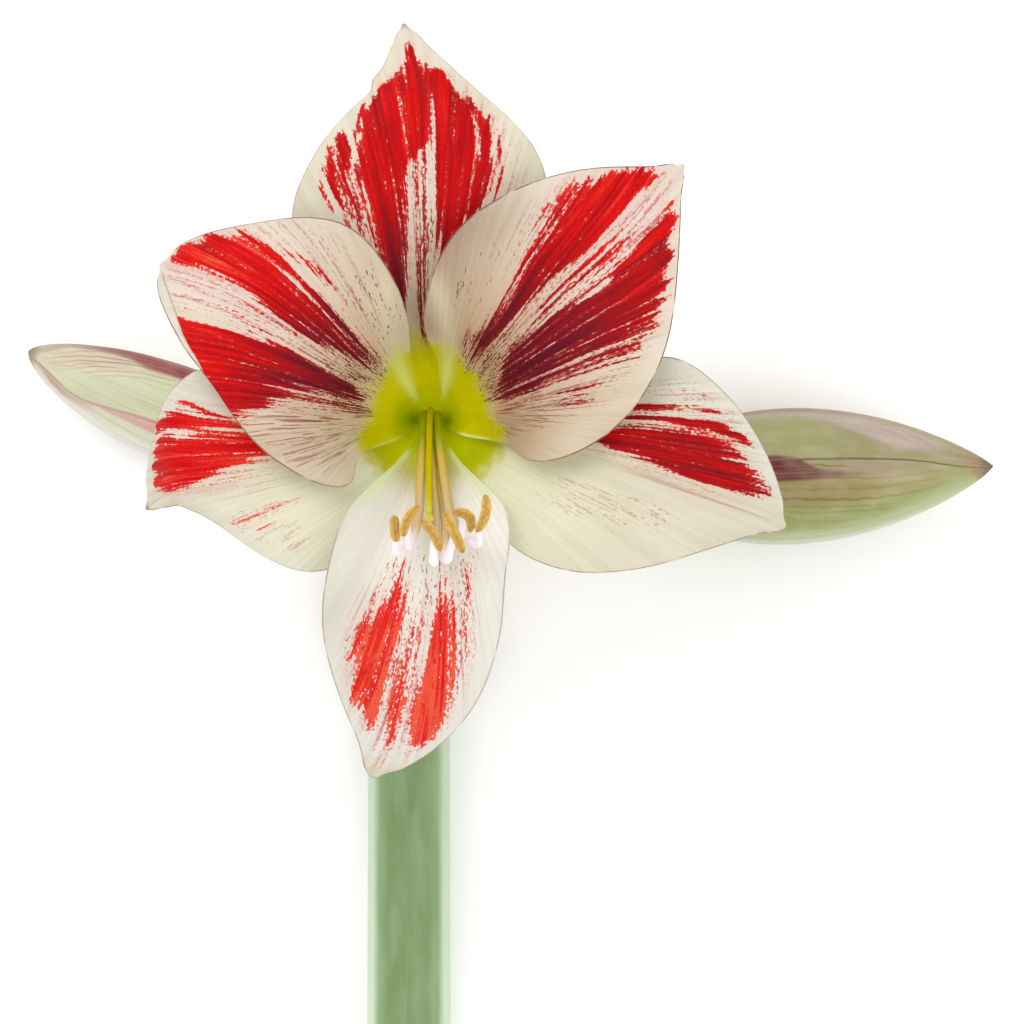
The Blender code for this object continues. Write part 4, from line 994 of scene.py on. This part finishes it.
def sheaf_route(place, fan, falls=0.15):
    """The way of one filament in the sheaf, from its foot in the tube towards its end."""
    sideways, above = place
    route = [Vector((sideways, above, TUBE_FLOOR + GAP))]
    for k, (forward, height, opened) in enumerate(SHEAF):
        here, after = SHEAF[max(k - 1, 0)], SHEAF[min(k + 1, len(SHEAF) - 1)]
        way = Vector((0, after[0] - here[0], after[1] - here[1])).normalized()
        lift = Vector((0, way.z, -way.y)) * above * (1 - falls * opened)
        aside = sideways + (fan - sideways) * opened
        route.append(Vector((aside, forward, height)) + lift)
    return route


def make_thread(name, route, radii, base, coats, look, replaces):
    """A filament or the style, with coats of (colour, share where it starts, share where it is full)."""
    route = fine_route(route, FILAMENT_STEPS) + BLOOM
    rings = tube_rings(route, radii, FILAMENT_SIDES)
    share = length_along(route) / length_along(route)[-1] + np.zeros(FILAMENT_SIDES)
    ground = painted(share, base, *((*shown, ramp(share, low, high)) for shown, low, high in coats))
    loft(name, rings, tube_uv(route, radii, FILAMENT_SIDES), {"ground": ground}, look, replaces)


def make_stamens():
    # The filaments get a painted glow
    fibres = plain_look("filament", 0.06, 5, 0.35, 0.45, 0.05, 0.1, 0.22)
    pollen = pollen_look()
    coats = (((206, 180, 84), 0.32, 0.52), ((202, 178, 130), 0.52, 0.72), ((246, 236, 240), 0.76, 0.86))
    for i, stamen in enumerate(STAMENS, start=1):
        hook, end = Vector(stamen["hook"]), Vector(stamen["end"])
        route = [*sheaf_route(stamen["foot"], stamen["fan"]), hook, end + Vector((0, -0.6, -2.0)), end]
        widths = [(1.0,)] * 5 + [(1.4 if i in (3, 4) else 1.1,), (0.7,)]
        radii = 0.93 * along(widths, np.linspace(0, 1, FILAMENT_STEPS))[:, 0]
        make_thread(f"stamen_{i}", route, radii, (154, 162, 0), coats, fibres, [f"filament_{i}"])
        make_anther(i, end, *stamen["anther"], pollen)
    end = Vector(STYLE_END)
    last = end - Vector((0, -1.6, 1.6))
    coats = (((196, 180, 0), 0.3, 0.6), ((202, 192, 60), 0.9, 1.0))
    make_thread("pistil", [*sheaf_route((0.0, STYLE_LIFT), end.x, 0.0)[:-1], last, end],
                np.linspace(0.9, 0.72, FILAMENT_STEPS), (186, 172, 0), coats, fibres, ["style"])
    make_stigma(last, end, fibres)


def pollen_look():
    look = Look("pollen")
    grain = look.node("TexVoronoi", {"Vector": look.solid(0.34), "Scale": 1.0})
    cloud = look.noise(look.solid(0.9), 3, 0.6)
    colour = look.mix(look.step(cloud, 0.35, 0.65), (190, 146, 62), (216, 180, 98))
    # The pale tint along the sacs' sides is a painted highlight
    colour = look.mix(look.value("side"), colour, (240, 216, 160))
    colour = look.mix(look.value("middle"), colour, (172, 124, 44))
    dark = look.step(look.noise(look.solid(0.45), 2, 0.6), 0.56, 0.66)
    colour = look.mix(look.times(dark, 0.5), colour, (134, 90, 36))
    relief = look.bump(grain.outputs["Distance"], 0.12, 0.8)
    return look.done(colour, 0.85, relief, 0.2, **{"Sheen Weight": 0.15, "Sheen Roughness": 0.5})


def make_anther(number, end, x, y, turn, length, bow, look):
    turn = math.radians(turn)
    way = Vector((math.cos(turn), math.sin(turn), 0))
    side = Vector((-way.y, way.x, 0))
    held_at = way.dot(end - Vector((x, y, end.z))) / (length / 2)
    middle = Vector((x, y, end.z + ANTHER_RADIUS + GAP + 0.05 + ANTHER_DROOP * held_at**2))
    route, radii = [], []
    for share in crowded(56):
        route.append(middle + way * (share * length / 2) + side * bow * (1 - share**2)
                     - Vector((0, 0, ANTHER_DROOP * share**2)))
        radii.append(ANTHER_RADIUS * max(1 - abs(share) ** 3.5, 0.0) ** 0.5 + 0.04)
    route = np.array(route) + BLOOM

    def from_top(turns):
        return np.angle(np.exp(1j * turns))

    def lobes(turns, share):
        return 1.0 - 0.20 * bell(from_top(turns), 0.38) - 0.16 * bell(from_top(turns - np.pi), 0.38)

    sides = 36
    rings = tube_rings(route, radii, sides, lobes)
    turns, each = circle(sides), np.zeros((len(route), 1))
    # side is a painted highlight along both sides of the sac
    values = {"middle": bell(from_top(turns), 0.42) * 0.7 + each,
              "side": ramp(np.abs(np.sin(turns)), 0.75, 1.0) * 0.7 + each}
    rings = rings + unit_vectors(rings - route[:, None]) * rough(rings, 0.45, 0.10, number)[..., None]
    loft(f"pollen_sac_{number}", rings, tube_uv(route, radii, sides), values, look, [f"anther_{number}"])


def make_stigma(last, end, look):
    way = (end - last).normalized()
    line = along([(0, 0.6, 0), (0.8, 0.9, 0.1), (1.4, 0.95, 0.3), (1.9, 0.8, 0.34), (2.3, 0.3, 0.2)],
                 np.linspace(0, 1, 20))
    turns = circle(36)
    height, width, lobes = line[:, :1], line[:, 1:2], line[:, 2:]
    reach = 1.05 * width * (1 + lobes * np.cos(3 * turns))
    turning = np.array(way.to_track_quat("Z", "Y").to_matrix())
    rings = lathe(height, reach, turns, turning) + np.array(end + way * GAP) + BLOOM
    loft("stigma_lobes", rings, grid_of(height, turns), {"ground": painted(reach, (204, 192, 70))}, look,
         ["stigma"])


# Buds
def bud_radius(bud, share):
    back = 1 - share
    tip = bud["girth"] * np.sin(np.pi / 2 * np.minimum(back / BUD_WIDEST, 1)) ** bud["blunt"]
    base = 1 - (1 - BUD_NECK) * (np.maximum(back - BUD_WIDEST, 0) / (1 - BUD_WIDEST)) ** 2.2
    return np.maximum(np.where(back < BUD_WIDEST, tip, bud["girth"] * base), 0.45)


def bud_ground(bud, share, turn, radius):
    """The colours of a bud's skin at (share, turn), with turn in degrees from the top side."""
    turn = wrap(turn)
    unit = np.radians(1) * radius
    wavy = turn + bud["wave"] * np.sin(share * 95 + turn * 0.2)
    coats = [(*shown, band(share, turn, unit, [(0.0, *rows[0][1:]), *rows], (soft, soft)))
             for shown, soft, rows in bud["tints"]]
    coats += [(*shown, band(share, wavy, unit, rows, (soft, soft))) for shown, soft, rows in bud["lines"]]
    return painted(share, bud["ground"], *coats)


def bud_look():
    look = Look("bud")
    veins = look.step(look.fibre(34, 0.42, 0.0, 2, 0.4), 0.52, 0.64)
    wide = look.fibre(26, 1.6, 3.0)
    cloud = look.fibre(9, 5, 8.0, 3)
    colour = look.mix(look.times(veins, 0.22), look.ground(), (140, 140, 96))
    colour = look.mix(look.times(look.step(wide, 0.4, 0.7), 0.14), colour, (176, 150, 122))
    colour = look.mix(look.times(look.step(cloud, 0.4, 0.7), 0.12), colour, (232, 230, 210))
    relief = look.bump(look.fibre(50, 0.7, 6.0, 2, 0.4), 0.25, 0.5)
    return look.done(colour, look.line(cloud, 0.2, 0.34), relief, 0.4, 0.10)


def stem_look(name, fleck):
    """Waxy green skin with long fibres and a faint bloom."""
    look = Look(name)
    fibre = look.fibre(30, 0.4, 0.0, 3)
    cloud = look.fibre(18, 5, 2.0, 3)
    colour = look.mix(look.times(look.step(fibre, 0.35, 0.7), 0.16), look.ground(), fleck)
    colour = look.mix(look.times(look.step(cloud, 0.35, 0.7), 0.14), colour, (198, 212, 184))
    return look.done(colour, look.line(cloud, 0.16, 0.42), look.bump(fibre, 0.12, 0.5), 0.4)


def make_bud(name, bud, skin, green):
    base, tip = np.array(bud["base"], float), np.array(bud["tip"], float)
    girth = bud["girth"]
    length = np.linalg.norm(tip - base)
    axis = (tip - base) / length
    up = unit_vectors(np.array((0, 0, 1.0)) - axis * axis[2])
    turning = np.stack((up, np.cross(axis, up), axis), -1)
    line = 1 - (1 - np.linspace(0, 1, 141)) ** 1.4

    def place(share, radius, turn):
        """Points round the bud's bent axis."""
        bend = bud["bend"] * np.sin(np.pi * np.minimum(share, 1.0)) ** 0.5
        return grid_of(radius * np.cos(turn), radius * np.sin(turn) + bend, share * length) @ turning.T

    shells = []
    for start in (bud["seam"], bud["seam"] + SEPAL_TURN, bud["seam"] + 2 * SEPAL_TURN):
        columns = start - SEPAL_LAP + (SEPAL_TURN + 2 * SEPAL_LAP) * np.linspace(0, 1, 130)
        share, turn = np.meshgrid(line, columns, indexing="ij")
        low, high = turn - start, start + SEPAL_TURN - turn
        radius = bud_radius(bud, share)
        lobe = 1 + 0.025 * np.cos(np.radians(3 * np.clip(low, 0, SEPAL_TURN)) + np.pi)
        size = np.minimum(radius / 8, 1)
        outer = radius * lobe - 0.55 * fade(low, -4, 5) * size + 0.12 * fade(high, -4, 7) * size
        thick = 0.25 + 0.55 * ramp(low, -SEPAL_LAP, 12) * ramp(high, -SEPAL_LAP, 12)
        inner = outer - np.minimum(thick, radius * 0.35)
        turn = turn + along([(twist,) for twist in bud["twist"]], share)[..., 0]
        shells.append((share, turn, outer, inner))
    lows = [place(share, outer, np.radians(turn))[..., 2].min() for share, turn, outer, _ in shells]
    base[2] = 0.02 - min(lows)  # the bud rests on the table
    for k, (share, turn, outer, inner) in enumerate(shells, start=1):
        angle = np.radians(turn)
        under = place(share, inner, angle)[:, ::-COARSER]
        rings = np.concatenate((place(share, outer, angle), under), axis=1) + base
        inside = painted(share[:, ::COARSER], (206, 204, 170))
        ground = np.concatenate((bud_ground(bud, share, turn, outer), inside), axis=1)
        uv = grid_of(share * length, angle * girth)
        uv = np.concatenate((uv, uv[:, ::-COARSER]), axis=1)
        loft(f"{name}_sepal_{k}", rings, uv, {"ground": ground}, skin, [f"{name}_outer_tepal_{k}"])
    share, angle = np.meshgrid(line[line < 0.93], np.radians(np.arange(0, 360, 6)), indexing="ij")
    core = place(share, np.maximum(bud_radius(bud, share) * 0.90 - 0.7, 0.25), angle) + base
    ground = painted(share, (214, 206, 176))
    loft(f"{name}_heart", core, grid_of(share * length, angle * girth), {"ground": ground}, skin,
         [f"{name}_inner_tepals"])
    make_ovary(f"{name}_seed_case", f"{name}_ovary", -GAP - bud["ovary"], -GAP, girth * 0.16 + 2.9, 4.2,
               green, turning, base, 5.0, girth * BUD_NECK)
    foot = base - axis * (bud["ovary"] + 2 * GAP)
    route = [*bud["stalk"], foot - axis * 3.0, foot]
    make_stalk(f"{name}_stalk", f"{name}_pedicel", route, STALK_RADIUS, green)


def make_ovary(name, node, foot, top, radius, neck, look, turning, base, tube=0.0, mouth=0.0):
    """A three-lobed ovary, with a tube of this length and mouth above it."""
    length = top - foot - tube
    rows = [(foot, STALK_RADIUS, 0.0)]
    rows += [(foot + length * share, radius * width, 0.09)
             for share, width in ((0.12, 0.82), (0.35, 1.0), (0.65, 1.0), (0.88, 0.9))]
    rows.append((foot + length, neck, 0.03))
    if tube:
        rows += [(top - tube * 0.45, (neck + mouth) / 2, 0.0), (top, mouth, 0.0)]
    line = along(rows, np.linspace(0, 1, 60))
    turns = circle(72)
    height, width, lobes = line[:, :1], line[:, 1:2], line[:, 2:]
    grooves = np.cos(1.5 * turns)
    reach = width * (1 + lobes * np.cos(3 * turns) - 0.012 * bell(grooves, 0.12))
    ground = painted(reach, (140, 164, 96), (108, 136, 70, bell(grooves, 0.22) * 0.5),
                     (188, 196, 134, ramp(height, top - 4, top)))
    rings = lathe(height, reach, turns, turning) + base
    loft(name, rings, grid_of(height, turns * radius), {"ground": ground}, look, [node])


def make_stalk(name, node, route, end_radius, look):
    steps, sides = 70, 48
    route = fine_route(route, steps)
    radii = np.linspace(STALK_RADIUS, end_radius, steps)
    rings = tube_rings(route, radii, sides, lambda turns, share: 1 + 0.012 * np.cos(5 * turns + 2 * share))
    light = ramp(np.linspace(0, 1, steps), 0.5, 1.0)[:, None]
    ground = painted(rings[..., 0], (136, 164, 104), (160, 182, 122, light))
    loft(name, rings, tube_uv(route, radii, sides), {"ground": ground}, look, [node])


# Scape
def make_scape(look):
    head, shoulder, length, head_radius, cut_radius, bore_radius = 8.0, 4.0, 298.0, 10.75, 11.9, 8.0
    widening = cut_radius - head_radius
    straight = length - shoulder
    taper = math.atan(widening / straight)
    cos, sin = math.cos(taper), math.sin(taper)
    outer = [(0.02, 0.0), (7.6, 0.0), (8.9, -0.15), (9.9, -0.8), (10.45, -1.9)]
    outer += [(head_radius + widening * s, -shoulder - s * straight) for s in np.linspace(0, 1, 120)]
    outer[-1] = (cut_radius - 0.12, -length + 0.05)
    bore = [(cut_radius - 0.6, -length), (10.0, -length + 0.1), (8.25, -length), (bore_radius, -length + 0.3)]
    bore += [(bore_radius - 0.8 * s, -length + 0.3 + s * (length - 28.6)) for s in np.linspace(0.02, 1, 40)]
    bore += [(5.2, -23.6), (2.6, -22.3), (0.02, -22.0)]
    line = np.array(outer + bore)
    turns = circle(120)
    radius = line[:, :1] * (1 + 0 * turns)
    depth = -line[:, 1:] + 0 * radius
    skin = np.arange(len(line))[:, None] < len(outer)
    uneven = 0.06 * np.cos(7 * turns + depth / 60) + 0.05 * np.cos(11 * turns - depth / 90)
    radius = radius - np.where(skin & (radius > 5), np.abs(uneven), 0)
    # It lies on its side, tilted by its taper, so its lowest line is level
    rise = radius * np.cos(turns)
    height = head_radius * cos - shoulder * sin
    y, z = head - depth * cos + rise * sin, height + rise * cos + depth * sin
    rings = grid_of(radius * np.sin(turns), y, z)
    # Painted highlight: the skin is paler more than about 40 degrees round from its top line, down both sides
    side = np.abs(np.degrees(np.angle(np.exp(1j * turns))))
    cut = (line[:, 1:] < -length + 0.2) & ~skin & (np.abs(line[:, :1] - 10.0) < 1.3)
    ground = painted(depth, (107, 134, 80), (132, 160, 110, ramp(side, 24, 42) * 0.6),
                     (214, 230, 204, ramp(side, 42, 62) * 0.85), (106, 132, 82, fade(depth, 0, 160) * 0.25),
                     (206, 216, 176, 1.0 * ~skin), (186, 202, 140, cut * 0.7))
    uv = grid_of(depth, turns * 11)
    loft("flower_stalk", rings[:, ::-1], uv[:, ::-1], {"ground": ground[:, ::-1]}, look, ["scape"])


# Spathe valves
def make_spathes():
    look = Look("spathe")
    vein = look.fibre(24, 0.5, 0.0, 3)
    cloud = look.fibre(6, 3, 2.0, 4, 0.55)
    colour = look.mix(look.step(vein, 0.35, 0.68), (176, 146, 98), (132, 98, 62))
    colour = look.mix(look.times(look.step(cloud, 0.4, 0.7), 0.6), colour, (206, 184, 140))
    colour = look.mix(look.times(look.step(look.value("edge"), 1.6, 0.2), 0.5), colour, (104, 74, 46))
    look.done(colour, 0.8, look.bump(vein, 0.3, 0.7), 0.2, 0.2)
    share, across = np.meshgrid(np.linspace(0, 1, 111), np.linspace(-1, 1, 49), indexing="ij")
    out, forward, height, half = np.moveaxis(along(SPATHE_ROWS, share), -1, 0)
    for side, name in ((-1, "left"), (1, "right")):
        bend = 2.2 * across**2 * half / 8
        ripple = 0.16 * np.sin(across * 9 + share * 5 + side) * ramp(share, 0.05, 0.3)
        ripple = ripple + 0.12 * np.sin(share * 31 + across * 4)
        points = grid_of(side * (out - bend + 0.15 + ripple), forward, height + side * across * half)
        sheet(f"spathe_{name}", points, 0.3 + 0.3 * (1 - across**2), grid_of(share * 40, across * 9),
              {"edge": (1 - np.abs(across)) * half}, look.material, [f"spathe_valve_{name}"],
              (side, 0, 0))


make_tepals()
make_tube()
make_stamens()
stalk_look = stem_look("stalk", (104, 128, 66))
make_ovary("seed_case", "bloom_ovary", 36.0, 50.0, 5.6, 4.6, stalk_look, np.eye(3), BLOOM)
foot_route = [*BLOOM_STALK, (BLOOM_X, BLOOM_Y, 33.2), (BLOOM_X, BLOOM_Y, 35.7)]
make_stalk("bloom_stalk", "bloom_pedicel", foot_route, 3.7, stalk_look)
bud_skin = bud_look()
for bud_name, bud_sizes in BUDS.items():
    make_bud(bud_name, bud_sizes, bud_skin, stalk_look)
make_scape(stem_look("scape", (122, 150, 104)))
make_spathes()


# Floor and light
def make_floor():
    look = Look("floor")
    fine = look.noise(look.solid(30), 3)
    colour = look.mix(fine, (0.90, 0.90, 0.90, 1), (0.93, 0.93, 0.93, 1))
    look.done(colour, 0.9, look.bump(fine, 0.02, 0.1), 0.1)
    mesh = bpy.data.meshes.new("floor")
    mesh.from_pydata([(-4, -4, 0), (4, -4, 0), (4, 4, 0), (-4, 4, 0)], [], [(0, 1, 2, 3)])
    mesh.materials.append(look.material)
    floor = bpy.data.objects.new("floor", mesh)
    floor.location.z = -0.0002
    bpy.context.scene.collection.objects.link(floor)


def make_light(name, place, size, power):
    data = bpy.data.lights.new(name, "AREA")
    data.shape = "DISK"
    data.size = size
    data.energy = power
    lamp = bpy.data.objects.new(name, data)
    lamp.location = place
    aim = Vector((0.02, 0.03, 0.06)) - Vector(place)
    lamp.rotation_euler = aim.to_track_quat("-Z", "Y").to_euler()
    bpy.context.scene.collection.objects.link(lamp)


make_floor()
world = bpy.data.worlds.new("studio")
world.use_nodes = True
world.node_tree.nodes["Background"].inputs[0].default_value = (1, 1, 1, 1)
world.node_tree.nodes["Background"].inputs[1].default_value = 1.15
bpy.context.scene.world = world
make_light("key", (-0.55, 0.75, 1.25), 1.0, 8)
make_light("fill", (0.85, -0.35, 1.1), 1.2, 4)
